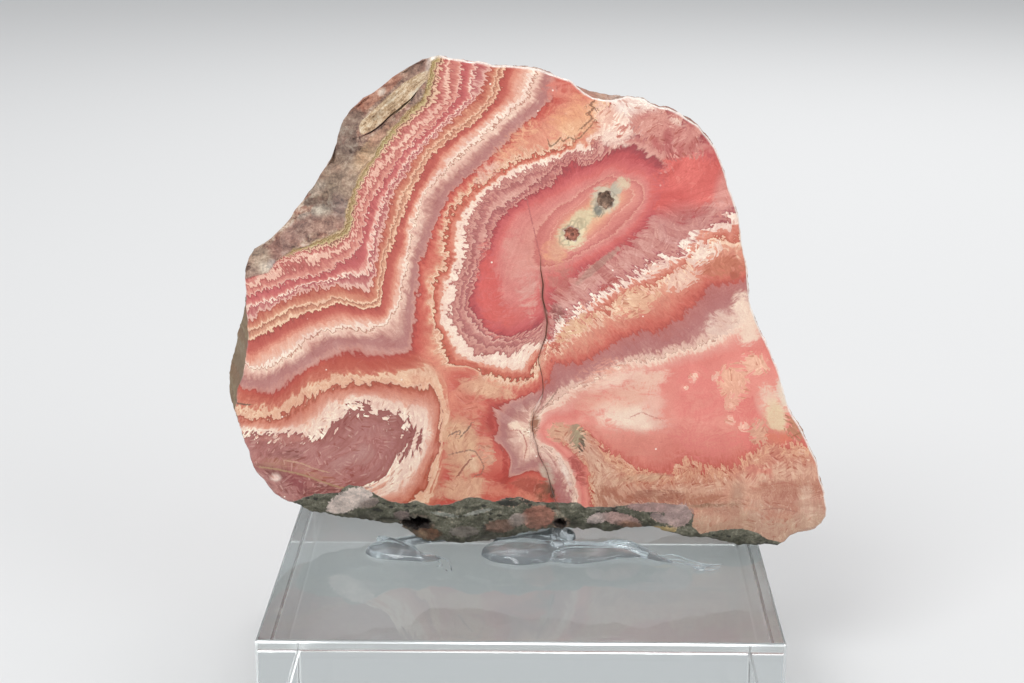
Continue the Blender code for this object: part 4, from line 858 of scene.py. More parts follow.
class StonePattern(Graph):
    """The stone's colours, laid over each other step by step.

    Patterns are laid out in millimetres: a scale of 2 gives grains half a millimetre across. The
    real crystals and growth lines go down to hundredths of a millimetre. The finest here are drawn
    coarser, 0.3 mm across, so that they show.

    Attributes:
        NOISES: Scale per mm, detail and roughness of each noise.
        kept: Outputs by name: the fields on the stone's vertices, and what the steps share.
        axes: x, y and z in mm.
        colour: Colour so far.
    """

    NOISES: ClassVar[Mapping[str, tuple[float, float, float]]] = {
        "sway": (0.35, 3.0, 0.5), "ripple": (2.0, 2.0, 0.5), "feather": (0.8, 3.0, 0.7),
        "dust": (3.2, 2.0, 0.7), "haze": (0.15, 5.0, 0.6), "fray": (2.4, 3.0, 0.7),
        "speck": (1.9, 4.0, 0.8), "blush": (0.25, 4.0, 0.6), "pits": (1.6, 4.0, 0.7)}

    def __init__(self, name: str) -> None:
        """Start with the fields stored on the stone's vertices, and with the noises.

        Args:
            name: Name of the material.
        """
        super().__init__(name)
        place = self.add("TexCoord", out="Object")
        spot = self.add("VectorMath", (place, (1 / MM, 1 / MM, 1 / MM)), **TIMES)
        self.axes = self.add("SeparateXYZ", (spot,)).node.outputs
        self.kept = kept = SimpleNamespace(spot=spot)
        for fields, out in ((StoneSlab.FIELDS, "Fac"), (StoneSlab.TINTS, "Color")):
            for field in fields:
                setattr(kept, field, self.add("Attribute", out=out, attribute_name=field))
        for grain, (scale, detail, rough) in self.NOISES.items():
            setattr(kept, grain, self.add("TexNoise", {
                "Vector": spot, "Scale": scale, "Detail": detail, "Roughness": rough}))
        kept.grain = self.add("CombineXYZ", (kept.along, kept.across))
        self.colour: Any = None

    def lay(self, depth_of_tone: tuple[float, float, float]) -> None:
        """Lay all the steps.

        Args:
            depth_of_tone: Share of red, green and blue left in the mean shade.
        """
        self._laths()
        self._break_level()
        self._bands()
        self._clouds()
        self._crystals()
        self._tone(depth_of_tone)
        self._seams()
        self._mottle()
        self._host_rock()
        self._rind()
        self._rim()
        self._crack()
        self._hollows()

    def _laths(self) -> None:
        """Keep a random value for each lath.

        Laths lie in bundles 3 mm across, each with its own direction; a lath is 1.3 by 0.3 mm.
        """
        add, kept = self.add, self.kept
        plane = add("CombineXYZ", (self.axes[0], self.axes[2]))
        place = add("VectorMath", (plane, (0.34, 0.34, 0)), **TIMES)
        bundle = add("TexVoronoi", {"Vector": place, "Scale": 1.0}, "Color", **FLAT)
        middle = bundle.node.outputs["Position"]
        local = add("VectorMath", (place, middle), operation="SUBTRACT")
        turn = add("Math", (add("SeparateColor", (bundle,)), 2.0 * math.pi), **TIMES)
        local = add("VectorRotate", {"Vector": local, "Angle": turn}, rotation_type="Z_AXIS")
        local = add("VectorMath", (local, (2.2, 8.5, 0)), **TIMES)
        local = add("VectorMath", (bundle, (41, 41, 0), local), **TIMES_PLUS)
        lath = add("TexVoronoi", {"Vector": local, "Scale": 1.0}, "Color", **FLAT)
        kept.lath = add("SeparateColor", (lath,))

    def _break_level(self) -> None:
        """Keep the level broken into teeth, the same shift in mm, and a random value per blade.

        Teeth are cones round scattered points: broad ones 2.5 mm apart, spikes 0.7 mm apart and
        needles 0.35 mm apart, all long across the layers. Blades are 0.9 by 3.6 mm. The layers
        also sway over 3 mm and ripple over 0.5 mm.
        """
        add, kept = self.add, self.kept
        tips: Any = 1.38
        for along, across, reach in ((0.42, 0.16, -0.8), (1.35, 0.5, -1.6), (2.9, 1.0, -1.3)):
            size = add("VectorMath", (kept.grain, (along, across, 0)), **TIMES)
            cone = add("TexVoronoi", {"Vector": size, "Scale": 1.0}, **FLAT)
            tips = add("Math", (cone, reach, tips), **TIMES_PLUS)
        size = add("VectorMath", (kept.grain, (1.15, 0.28, 0)), **TIMES)
        blade = add("TexVoronoi", {"Vector": size, "Scale": 1.0}, "Color", **FLAT)
        blade = kept.blade = add("SeparateColor", (blade,))
        split = add("Math", (blade, 0.5), operation="SUBTRACT")
        split = add("Math", (split, kept.blades), **TIMES)
        tips = add("Math", (split, 1.8, tips), **TIMES_PLUS)
        wave = add("Math", (kept.sway, 0.9, -0.65), **TIMES_PLUS)
        wave = add("Math", (kept.ripple, 0.4, wave), **TIMES_PLUS)
        tips = add("Math", (tips, kept.teeth), **TIMES)
        shift = add("Math", (wave, tips), operation="SUBTRACT")
        jag = add("Math", (kept.lath, 0.5), operation="SUBTRACT")
        jag = add("Math", (jag, kept.laths), **TIMES)
        shift = kept.shift = add("Math", (jag, 1.5, shift), **TIMES_PLUS)
        kept.broken = add("Math", (shift, kept.pace, kept.level), **TIMES_PLUS)

    def _layers(self, colours: Layers) -> Any:
        """Colour the broken level from a table of growth layers.

        Args:
            colours: Levels in rising order and their sRGB colours.

        Returns:
            The colour output. A long table is shared between two ramps.
        """
        level = self.kept.broken
        if len(colours) > 30:
            cut = len(colours) // 2
            lower = self._layers(colours[:cut + 1])
            upper = self._layers(colours[cut:])
            above = self.add("Math", (level, colours[cut][0]), operation="GREATER_THAN")
            return self.add("Mix", {0: above, 6: lower, 7: upper}, **RGBA)
        low, high = colours[0][0], colours[-1][0]
        stops = [((at - low) / (high - low), code) for at, code in colours]
        return self.add("ValToRGB", (self.add("MapRange", (level, low, high)),), stops=stops)

    def _bands(self) -> None:
        """Lay the layer colours of the fan, the core, the right side and the lower left."""
        add, kept = self.add, self.kept
        tables = (FAN_COLOURS, CORE_COLOURS, RIGHT_COLOURS, LOW_COLOURS)
        fan, core, right, low = (self._layers(table) for table in tables)
        inner = add("MapRange", (kept.broken, 10.15, 10.25), **EASED)
        fan = add("Mix", {0: inner, 6: fan, 7: core}, **RGBA)
        inner = add("MapRange", (kept.broken, 15.2, 15.4), **EASED)
        right = add("Mix", {0: inner, 6: right, 7: core}, **RGBA)
        colour = add("Mix", {0: kept.right, 6: fan, 7: right}, **RGBA)
        self.colour = add("Mix", {0: kept.low, 6: colour, 7: low}, **RGBA)

    def _clouds(self) -> None:
        """Lay soft clouds, uneven over 4 mm, and feathery patches of altered crystal."""
        add, kept = self.add, self.kept
        drift = add("VectorMath", (kept.spot, (0.8, 1.0, 1.6)), **TIMES)
        soft = add("TexNoise", {"Vector": drift, "Scale": 0.26, "Detail": 7.0, "Roughness": 0.62,
                                "Distortion": 1.6})
        soft = add("Math", (soft, 2.4, -1.2), **TIMES_PLUS)
        touched = add("MapRange", (kept.cloud, 0.0, 0.3), **EASED)
        cover = add("Math", (soft, touched, kept.cloud), **TIMES_PLUS)
        frayed = add("MapRange", (kept.lath, 0.0, 1.0, -0.2, 0.2))
        cover = add("Math", (frayed, touched, cover), **TIMES_PLUS)
        cover = add("MapRange", (cover, 0.05, 0.9), **EASED)
        self.colour = add("Mix", {0: cover, 6: self.colour, 7: kept.cloud_tint}, **RGBA)
        ragged = add("Math", (kept.feather, 1.2, -1.2), **TIMES_PLUS)
        ragged = add("Math", (kept.lath, 1.2, ragged), **TIMES_PLUS)
        touched = add("MapRange", (kept.piece, 0.0, 0.3), **EASED)
        cover = add("Math", (ragged, touched, kept.piece), **TIMES_PLUS)
        cover = add("MapRange", (cover, 0.4, 0.46, 0.0, 0.9), **EASED)
        self.colour = add("Mix", {0: cover, 6: self.colour, 7: kept.piece_tint}, **RGBA)

    def _crystals(self) -> None:
        """Lay shaded laths, dark and pale slivers, drops in the core, and glints, which are painted
        highlights.

        Drops are 1.4 mm across. Glints are 0.4 mm across, in one of five cells of 3 mm.
        """
        add, kept = self.add, self.kept
        shade = add("MapRange", (kept.lath, 0.0, 1.0, 1.11, 0.88))
        shade = add("Mix", {0: kept.laths, 2: 1.0, 3: shade})
        tone = add("Math", (shade, 2.0), operation="POWER")
        tone = add("CombineColor", (shade, tone, tone))
        colour = add("Mix", {0: 1.0, 6: self.colour, 7: tone}, **SHADED)
        for start, end, most, blend, code in ((0.935, 0.95, 0.8, SHADED, "e4bcae"),
                                              (0.07, 0.05, 0.2, RGBA, "f7e0d2")):
            sliver = add("MapRange", (kept.lath, start, end, 0.0, most))
            sliver = add("Math", (sliver, kept.laths), **TIMES)
            colour = add("Mix", {0: sliver, 6: colour, 7: srgb(code)}, **blend)
        drops = add("TexVoronoi", {"Vector": kept.spot, "Scale": 0.72}, feature="DISTANCE_TO_EDGE")
        drops = add("MapRange", (drops, 0.0, 0.2, 0.72, 1.06), **EASED)
        core = add("MapRange", (kept.broken, 19.3, 19.6), **EASED)
        drops = add("Mix", {0: core, 2: 1.0, 3: drops})
        drops = add("CombineColor", (drops, drops, drops))
        colour = add("Mix", {0: 1.0, 6: colour, 7: drops}, **SHADED)
        # Painted highlights: sparse near-white specks that stand in for sparkles of light on the polish.
        painted_glint = add("TexVoronoi", {"Vector": kept.spot, "Scale": 0.32}, "Color")
        lucky = add("MapRange", (add("SeparateColor", (painted_glint,)), 0.8, 0.81))
        near = add("MapRange", (painted_glint.node.outputs["Distance"], 0.085, 0.04), **EASED)
        painted_glint = add("Math", (lucky, near), **TIMES)
        self.colour = add("Mix", {0: painted_glint, 6: colour, 7: srgb("fdf1e8")}, **RGBA)

    def _tone(self, depth_of_tone: tuple[float, float, float]) -> None:
        """Shade with fibres, growth lines, blades, speckle and cloudiness.

        Fibres are 0.3 by 3 mm, growth lines 0.5 mm apart, specks 0.3 mm and clouds 7 mm across.

        Args:
            depth_of_tone: Share of red, green and blue left in the mean shade.
        """
        add, kept = self.add, self.kept
        fibre = add("VectorMath", (kept.grain, (3.2, 0.3, 0)), **TIMES)
        fibre = add("TexNoise", {"Vector": fibre, "Scale": 1.0, "Detail": 3.0, "Roughness": 0.6})
        fibre = add("MapRange", (fibre, 0.3, 0.7, 0.95, 1.04))
        depth = add("Math", (kept.across, kept.shift), operation="ADD")
        rings = add("TexNoise", {"W": depth, "Scale": 1.9, "Detail": 3.0, "Roughness": 0.75},
                    noise_dimensions="1D")
        rings = add("MapRange", (rings, 0.3, 0.7, 0.87, 1.1))
        rings = add("Math", (rings, fibre), **TIMES)
        shade = add("Mix", {0: kept.lines, 2: 1.0, 3: rings})
        blade = add("MapRange", (kept.blade, 0.0, 1.0, 0.9, 1.08))
        blade = add("Mix", {0: kept.blades, 2: 1.0, 3: blade})
        shade = add("Math", (shade, blade), **TIMES)
        for grains, dark, light in ((kept.dust, 0.955, 1.04), (kept.haze, 0.93, 1.06)):
            uneven = add("MapRange", (grains, 0.3, 0.7, dark, light))
            shade = add("Math", (shade, uneven), **TIMES)
        deep = add("Math", (shade, 2.3), operation="POWER")
        tone = add("CombineColor", (shade, deep, deep))
        tone = add("VectorMath", (tone, depth_of_tone), **TIMES)
        self.colour = add("Mix", {0: 1.0, 6: self.colour, 7: tone}, **SHADED)

    def _seams(self) -> None:
        """Draw dendrites, healed fractures and the edges of folds, frayed over 0.4 mm."""
        add, kept = self.add, self.kept
        gap = add("Math", (kept.seam,), operation="ABSOLUTE")
        gap = add("Math", (gap, 0.45), operation="SUBTRACT")
        gap = add("Math", (kept.fray, 0.9, gap), **TIMES_PLUS)
        gap = add("Math", (kept.seam_near, -0.35, gap), **TIMES_PLUS)
        cover = add("MapRange", (gap, 0.1, -0.06, 0.0, 0.8), **EASED)
        near = add("MapRange", (kept.seam_near, 0.02, 0.25))
        cover = add("Math", (cover, near), **TIMES)
        self.colour = add("Mix", {0: cover, 6: self.colour, 7: kept.seam_tint}, **RGBA)

    def _mottle(self) -> None:
        """Keep the uneven patterns that the rock, the rind and the rim share.

        Lumps are 2 mm across, specks 0.5 mm, and pores lie in three of ten cells of 1.3 mm.
        """
        add, kept = self.add, self.kept
        bedded = add("VectorMath", (kept.spot, (0.75, 1.0, 1.25)), **TIMES)
        lumps = kept.lumps = add("TexNoise", {"Vector": bedded, "Scale": 0.46, "Detail": 5.0,
                                              "Roughness": 0.64, "Distortion": 0.5})
        ragged = kept.ragged = add("Math", (kept.speck, 2.2, -1.1), **TIMES_PLUS)
        lumpy = add("Math", (lumps, 0.6), **TIMES)
        mixed = kept.mixed = add("Math", (kept.speck, 0.4, lumpy), **TIMES_PLUS)
        pore = add("VectorMath", (kept.spot, (0.62, 0.8, 1.0)), **TIMES)
        pore = add("TexVoronoi", {"Vector": pore, "Scale": 1.0}, "Color")
        few = add("MapRange", (add("SeparateColor", (pore,)), 0.7, 0.72))
        near = add("Math", (ragged, 0.25, pore.node.outputs["Distance"]), **TIMES_PLUS)
        near = add("MapRange", (near, 0.42, 0.25, 0.0, 0.85), **EASED)
        pale = add("MapRange", (mixed, 0.4, 0.6, 0.62, 1.35))
        pale = add("CombineXYZ", (pale, pale, pale))
        kept.uneven = add("Math", (lumps, 1.6, -0.8), **TIMES_PLUS)
        kept.pore = add("Math", (few, near), **TIMES)
        kept.pale = add("VectorMath", (kept.piece_tint, pale), **TIMES)

    def _host_rock(self) -> None:
        """Lay the grey-green host rock, with dark pores, clasts and painted shade on its underside."""
        add, kept = self.add, self.kept
        rock = add("ValToRGB", (kept.mixed,), stops=(
            (0.36, "221f16"), (0.42, "403e30"), (0.49, "5a5847"), (0.56, "767362"), (0.64, "a89f8c")))
        rock = add("Mix", {0: kept.pore, 6: rock, 7: srgb("17150f")}, **RGBA)
        clast = add("Math", (kept.ragged, 0.55, kept.piece), **TIMES_PLUS)
        clast = add("MapRange", (clast, 0.3, 0.42, 0.0, 0.88), **EASED)
        rock = add("Mix", {0: clast, 6: rock, 7: kept.pale}, **RGBA)
        # Painted shade: the rock darkens as it lies 0.35 to 1.4 mm behind the face, where it rounds
        # under.
        shaded = add("MapRange", (self.axes[1], 0.35, 1.4, 0.0, 0.75), **EASED)
        rock = add("Mix", {0: shaded, 6: rock, 7: srgb("38342a")}, **RGBA)
        cover = add("Math", (kept.uneven, kept.rock), operation="ADD")
        cover = kept.in_rock = add("MapRange", (cover, -0.1, 0.12), **EASED)
        self.colour = add("Mix", {0: cover, 6: self.colour, 7: rock}, **RGBA)

    def _rind(self) -> None:
        """Lay the rind's mottled tan and mauve, with pores, a 4 mm blush, stains and a splinter."""
        add, kept = self.add, self.kept
        rind = add("ValToRGB", (kept.mixed,), stops=(
            (0.38, "403028"), (0.43, "7e6257"), (0.49, "a88675"), (0.54, "c0a38d"), (0.6, "e6d3c0")))
        pore = add("Math", (kept.pore, 0.6), **TIMES)
        rind = add("Mix", {0: pore, 6: rind, 7: srgb("4a342b")}, **RGBA)
        blush = add("MapRange", (kept.blush, 0.48, 0.6, 0.0, 0.6), **EASED)
        rosy = add("Mix", {0: 1.0, 6: rind, 7: srgb("f2c4bd")}, **SHADED)
        rind = add("Mix", {0: blush, 6: rind, 7: rosy}, **RGBA)
        stain = add("Math", (kept.uneven, 0.5, kept.stain), **TIMES_PLUS)
        stain = add("MapRange", (stain, 0.08, 0.5, 0.0, 0.65), **EASED)
        rind = add("Mix", {0: stain, 6: rind, 7: kept.pale}, **RGBA)
        within = add("Math", (kept.uneven, 0.35, kept.splinter), **TIMES_PLUS)
        within = add("MapRange", (within, -0.12, 0.06, 0.0, 0.95), **EASED)
        rind = add("Mix", {0: within, 6: rind, 7: self._strata()}, **RGBA)
        cover = add("Math", (kept.uneven, kept.rind), operation="ADD")
        cover = kept.in_rind = add("MapRange", (cover, -0.2, 0.3), **EASED)
        self.colour = add("Mix", {0: cover, 6: self.colour, 7: rind}, **RGBA)

    def _strata(self) -> Any:
        """Return the colour of the splinter: tan and cream layers 1 mm thick along its length."""
        add, kept = self.add, self.kept
        run = add("VectorMath", (kept.spot, (0.11, 0.3, 0.11)), "Value", operation="DOT_PRODUCT")
        layer = add("VectorMath", (kept.spot, (0.75, 0.2, -0.78)), "Value", operation="DOT_PRODUCT")
        strata = add("CombineXYZ", (run, layer))
        strata = add("TexNoise", {"Vector": strata, "Scale": 1.0, "Detail": 7.0, "Roughness": 0.75})
        speck = add("Math", (kept.speck, 0.35), **TIMES)
        strata = add("Math", (strata, 0.65, speck), **TIMES_PLUS)
        return add("ValToRGB", (strata,), stops=(
            (0.4, "80634a"), (0.46, "c6a480"), (0.51, "e2c8a6"), (0.58, "f6e8d0")))

    def _rim(self) -> None:
        """Lay a thin brown crust over the broken rim, olive at the left, with a pale edge: chips and
        painted highlight.
        """
        add, kept = self.add, self.kept
        crust = add("ValToRGB", (kept.mixed,), stops=(
            (0.34, "6f5848"), (0.43, "866a58"), (0.5, "9a7462"), (0.57, "ae8672"), (0.66, "c4a28c")))
        aged = add("MapRange", (self.axes[0], -48.0, -53.0, 0.0, 0.85), **EASED)
        crust = add("Mix", {0: aged, 6: crust, 7: srgb("787256")}, **RGBA)
        through = add("MapRange", (kept.lumps, 0.36, 0.64, 0.85, 0.6), **EASED)
        through = add("Math", (aged, through), **LARGER)
        through = add("Math", (through, kept.skin), **TIMES)
        colour = add("Mix", {0: through, 6: self.colour, 7: crust}, **RGBA)
        # The pale front edge is partly chips, partly a painted highlight where the top and right edges
        # catch the light.
        chips_and_highlight = add("MapRange", (kept.ragged, -0.5, 0.1, 0.3, 1.0), **EASED)
        chips_and_highlight = add("Math", (chips_and_highlight, kept.edge), **TIMES)
        self.colour = add("Mix", {0: chips_and_highlight, 6: colour, 7: srgb("fbf0e6")}, **RGBA)

    def _crack(self) -> None:
        """Darken the open crack, partly its brown fill and partly painted shade in the gap, in a brown
        halo 0.6 mm wide on each side.
        """
        add, kept = self.add, self.kept
        gap = add("Math", (kept.crack,), operation="ABSOLUTE")
        gap = add("Math", (kept.ragged, 0.12, gap), **TIMES_PLUS)
        gap = add("Math", (gap, kept.gape), operation="SUBTRACT")
        # The inner dark line grows with the gape: partly the crack's brown fill, partly painted shade in
        # the open gap.
        for start, end, most, opened, code in ((0.6, 0.0, 0.5, 0.1, "9a5a4c"),
                                               (0.08, -0.04, 0.8, 0.05, "6b4434")):
            cover = add("MapRange", (gap, start, end, 0.0, most), **EASED)
            gaping = add("MapRange", (kept.gape, 0.0, opened))
            cover = add("Math", (cover, gaping), **TIMES)
            self.colour = add("Mix", {0: cover, 6: self.colour, 7: srgb(code)}, **RGBA)

    def _hollows(self) -> None:
        """Line the hollows with crystals whose facets are 0.6 mm across."""
        add, kept = self.add, self.kept
        facet = add("TexVoronoi", {"Vector": kept.spot, "Scale": 1.7}, "Color")
        facet = add("MapRange", (add("SeparateColor", (facet,)), 0.0, 1.0, 0.45, 1.35))
        facet = add("CombineXYZ", (facet, facet, facet))
        lining = add("VectorMath", (kept.pale, facet), **TIMES)
        # In the two notches at the foot the lining colour is near black, a painted shade.
        self.colour = add("Mix", {0: kept.hollow, 6: self.colour, 7: lining}, **RGBA)

    def matt(self) -> Any:
        """Return the share of the surface that is broken and matt, not polished."""
        share = self.add("Math", (self.kept.in_rock, 0.7), **TIMES)
        for name in ("in_rind", "skin", "hollow"):
            share = self.add("Math", (share, getattr(self.kept, name)), **LARGER)
        return share


@dataclass(frozen=True)
class RhodochrositeFinish:
    """Rhodochrosite slab, sawn and polished to a wet gloss on its face.

    Manganese carbonate, with a refractive index of 1.6 to 1.8, so it shines a little more than
    glass. Light enters some millimetres, which softens the pink layers. The host rock and the rim
    are broken, not polished, and stay matt, with pits 0.6 mm across.
    """

    polish_roughness: float = 0.16
    sawn_roughness: float = 0.5
    rock_roughness: float = 0.8
    ior: float = 1.6
    depth_of_tone: tuple[float, float, float] = (0.985, 0.9, 0.85)
    pit_depth: float = 0.7 * MM

    def build(self) -> bpy.types.Material:
        """Return the material, which reads the fields stored on the stone's vertices."""
        g = StonePattern("polished rhodochrosite")
        g.lay(self.depth_of_tone)
        matt = g.matt()
        gloss = g.add("Mix", {0: matt, 2: self.polish_roughness, 3: self.rock_roughness})
        gloss = g.add("Mix", {0: g.kept.sawn, 2: gloss, 3: self.sawn_roughness})
        pits = g.add("Math", (g.kept.pits, matt), **TIMES)
        bump = g.add("Bump", {"Height": pits, "Strength": 0.7, "Distance": self.pit_depth})
        return g.finish({"Base Color": g.colour, "Roughness": gloss, "IOR": self.ior, "Normal": bump})


@dataclass(frozen=True)
class AcrylicFinish:
    """Cast acrylic block, its top polished, its sides sawn and flame polished.

    Clear, with a faint blue-green cast. The saw leaves slanting streaks on the sides that scatter
    light a little, and the broken edges are frosted.
    """

    ior: float = 1.49
    roughness: float = 0.015
    streak_roughness: float = 0.07
    edge_roughness: float = 0.4
    body: str = "f7fcfc"
    streaks_per_mm: float = 0.35

    def build(self) -> bpy.types.Material:
        """Return the material."""
        g = Graph("clear cast acrylic")
        place = g.add("TexCoord", out="Object")
        facing = g.add("VectorMath", (place.node.outputs["Normal"],), operation="ABSOLUTE")
        axes = g.add("SeparateXYZ", (facing,)).node.outputs
        side = g.add("Math", (axes[0], axes[1]), **LARGER)
        flat = g.add("Math", (side, axes[2]), **LARGER)
        slant = g.add("Mapping", {0: place, 2: (0.0, 0.6, 0.5), 3: (1 / MM, 1 / MM, 1 / MM)})
        slant = g.add("VectorMath", (slant, (self.streaks_per_mm, self.streaks_per_mm, 0.04)), **TIMES)
        streak = g.add("TexNoise", {"Vector": slant, "Scale": 1.0, "Detail": 2.0, "Roughness": 0.5})
        streak = g.add("MapRange", (streak, 0.52, 0.68, self.roughness, self.streak_roughness))
        sawn = g.add("MapRange", (side, 0.9, 0.95))
        rough = g.add("Mix", {0: sawn, 2: self.roughness, 3: streak})
        frosted = g.add("MapRange", (flat, 0.97, 0.95))
        rough = g.add("Mix", {0: frosted, 2: rough, 3: self.edge_roughness})
        return g.finish({"Base Color": srgb(self.body), "Transmission Weight": 1.0, "IOR": self.ior,
                         "Roughness": rough})


@dataclass(frozen=True)
class GlueFinish:
    """Clear hot-melt glue: set from a melt, so it is glassy with a slight milky blue cast.

    Its skin is uneven over 2.4 mm, by 0.2 mm at most.
    """

    ior: float = 1.48
    roughness: float = 0.03
    clearness: float = 0.88
    body: str = "f0f8fc"
    waves_per_metre: float = 420.0
    wave_depth: float = 0.2 * MM

    def build(self) -> bpy.types.Material:
        """Return the material."""
        g = Graph("clear hot-melt glue")
        place = g.add("TexCoord", out="Object")
        skin = g.add("TexNoise", {"Vector": place, "Scale": self.waves_per_metre, "Detail": 2.0})
        bump = g.add("Bump", {"Height": skin, "Strength": 0.2, "Distance": self.wave_depth})
        return g.finish({"Base Color": srgb(self.body), "Transmission Weight": self.clearness,
                         "IOR": self.ior, "Roughness": self.roughness, "Normal": bump})


@dataclass(frozen=True)
class FloorFinish:
    """Matt pale studio paper."""

    colour: str = "e2e2e2"
    roughness: float = 0.9

    def build(self) -> bpy.types.Material:
        """Return the material."""
        return Graph("pale paper").finish({"Base Color": srgb(self.colour),
                                           "Roughness": self.roughness})


# ---- the stone -----------------------------------------------------------------------------------
def made(name: str, build: bmesh.types.BMesh) -> bpy.types.Object:
    """Turn a finished build into an object of the scene.

    Args:
        name: Name of the object and its mesh.
        build: The build, freed afterwards.

    Returns:
        The object.
    """
    mesh = bpy.data.meshes.new(name)
    build.to_mesh(mesh)
    build.free()
    piece = bpy.data.objects.new(name, mesh)
    bpy.context.scene.collection.objects.link(piece)
    return piece


@dataclass
class StoneSlab:
    """The slice: rim and hollows from the CAD solid, with a fine face for the growth pattern.

    Attributes:
        growth: Growth field of the face.
        depth: Thickness of the slab, mm.
        face_step: Spacing of the points on the polished face, mm.
        back_step: Spacing of the points on the sawn back, mm.
        rim_step: Longest edge left on the rim, mm.
        hollow_step: Longest edge left round the hollows, mm.
        roughness: Height of the broken surface's small relief, mm.
        lumpiness: Height of the rind's lumps, mm.
        crease: Angle from which an edge stays sharp, radians.
    """

    growth: GrowthField
    depth: float = 15.0
    face_step: float = 0.52
    back_step: float = 1.1
    rim_step: float = 0.9
    hollow_step: float = 0.4
    roughness: float = 0.3
    lumpiness: float = 1.2
    crease: float = 0.7

    FIELDS: ClassVar[tuple[str, ...]] = (
        "level", "along", "across", "pace", "teeth", "blades", "lines", "laths", "right", "low",
        "cloud", "piece", "stain", "splinter", "rock", "rind", "skin", "edge", "crack", "gape",
        "hollow", "sawn", "seam", "seam_near")
    TINTS: ClassVar[tuple[str, ...]] = ("cloud_tint", "piece_tint", "seam_tint")

    def build(self, solid: bpy.types.Object) -> bpy.types.Object:
        """Build and dress the stone.

        Args:
            solid: CAD node of the slice.

        Returns:
            A new object in the same place.
        """
        build = bmesh.new()
        build.from_mesh(solid.data)
        bmesh.ops.remove_doubles(build, verts=build.verts, dist=WELD)
        for level in (0.0, self.depth * MM):
            flat = [f for f in build.faces if all(abs(v.co.y - level) < IN_PLANE for v in f.verts)]
            bmesh.ops.delete(build, geom=flat, context="FACES")
        self._refine(build)
        self._tune_cuts(build)
        self._roughen(build)
        self._fill(build, 0.0, self.face_step)
        self._fill(build, self.depth * MM, self.back_step)
        bmesh.ops.recalc_face_normals(build, faces=build.faces)
        for face in build.faces:
            face.smooth = True
        for edge in build.edges:
            edge.smooth = len(edge.link_faces) == 2 and edge.calc_face_angle(0.0) < self.crease
        stone = made("rhodochrosite_stone", build)
        self._store_fields(stone.data)
        stone.data.materials.append(RhodochrositeFinish().build())
        return stone

    def _refine(self, build: bmesh.types.BMesh) -> None:
        """Split long edges of the rim and the hollows until none is longer than its step.

        Args:
            build: Mesh without its two flat sides.
        """
        bmesh.ops.dissolve_degenerate(build, dist=WELD, edges=build.edges)
        for _ in range(6):
            bmesh.ops.triangulate(build, faces=build.faces, quad_method="SHORT_EDGE")
            spots = self._spots(build)
            near = np.max([hollow.share(spots, 1.3) for hollow in HOLLOWS], axis=0) > 0
            build.verts.index_update()
            long = []
            for edge in build.edges:
                fine = near[edge.verts[0].index] and near[edge.verts[1].index]
                step = self.hollow_step if fine else self.rim_step
                if edge.calc_length() > step * MM:
                    long.append(edge)
            if not long:
                break
            bmesh.ops.subdivide_edges(build, edges=long, cuts=1)
        bmesh.ops.triangulate(build, faces=build.faces, quad_method="SHORT_EDGE")

    @staticmethod
    def _spots(build: bmesh.types.BMesh) -> np.ndarray:
        """Return (x, h) of every vertex of the mesh, mm."""
        return np.array([(v.co.x / MM, v.co.z / MM - BLOCK_TOP) for v in build.verts])

    def _tune_cuts(self, build: bmesh.types.BMesh) -> None:
        """Narrow the crack and the crevice, and make the hollows shallow and uneven.

        Args:
            build: Mesh whose vertices are moved.
        """
        spots = self._spots(build)
        depths = np.array([v.co.y / MM for v in build.verts])
        crack_width = np.interp(spots[:, 1], (10, 40, 46, 58, 64), (0.2, 0.22, 0.36, 0.36, 0.15))
        crevice_width = np.full(len(spots), 0.28)
        # Path, reach and greatest depth in mm, and the shares of the depth and the width kept.
        for path, reach, deepest, kept, width in ((CRACK, 1.2, 2.0, 0.35, crack_width),
                                                  (CREVICE, 2.2, 6.0, 1.0, crevice_width)):
            size, foot = nearest(spots, path)
            size = np.abs(size)
            pinch = width + (1.0 - width) * eased(size, 0.0, reach)
            touched = (size < reach) & (depths < deepest)
            spots = np.where(touched[:, None], foot + (spots - foot) * pinch[:, None], spots)
            depths *= np.where(touched, kept + (1 - kept) * eased(size, 0.5 * reach, reach), 1.0)
        for hollow in HOLLOWS:
            within = hollow.share(spots, 1.3) * (depths < HOLLOW_FLOOR)
            depths *= 1.0 - within * (1.0 - hollow.strength)
            for i in np.nonzero(within > 0)[0]:
                place = Vector((spots[i, 0], depths[i], spots[i, 1]))
                size = 1.0 + within[i] * (0.45 * noise.noise(place) + 0.3 * noise.noise(place * 2.7))
                spots[i] = (hollow.x + (spots[i, 0] - hollow.x) * size,
                            hollow.h + (spots[i, 1] - hollow.h) * size)
        for vert, (x, h), y in zip(build.verts, spots.tolist(), depths.tolist()):
            vert.co = Vector((x, y, h + BLOCK_TOP)) * MM

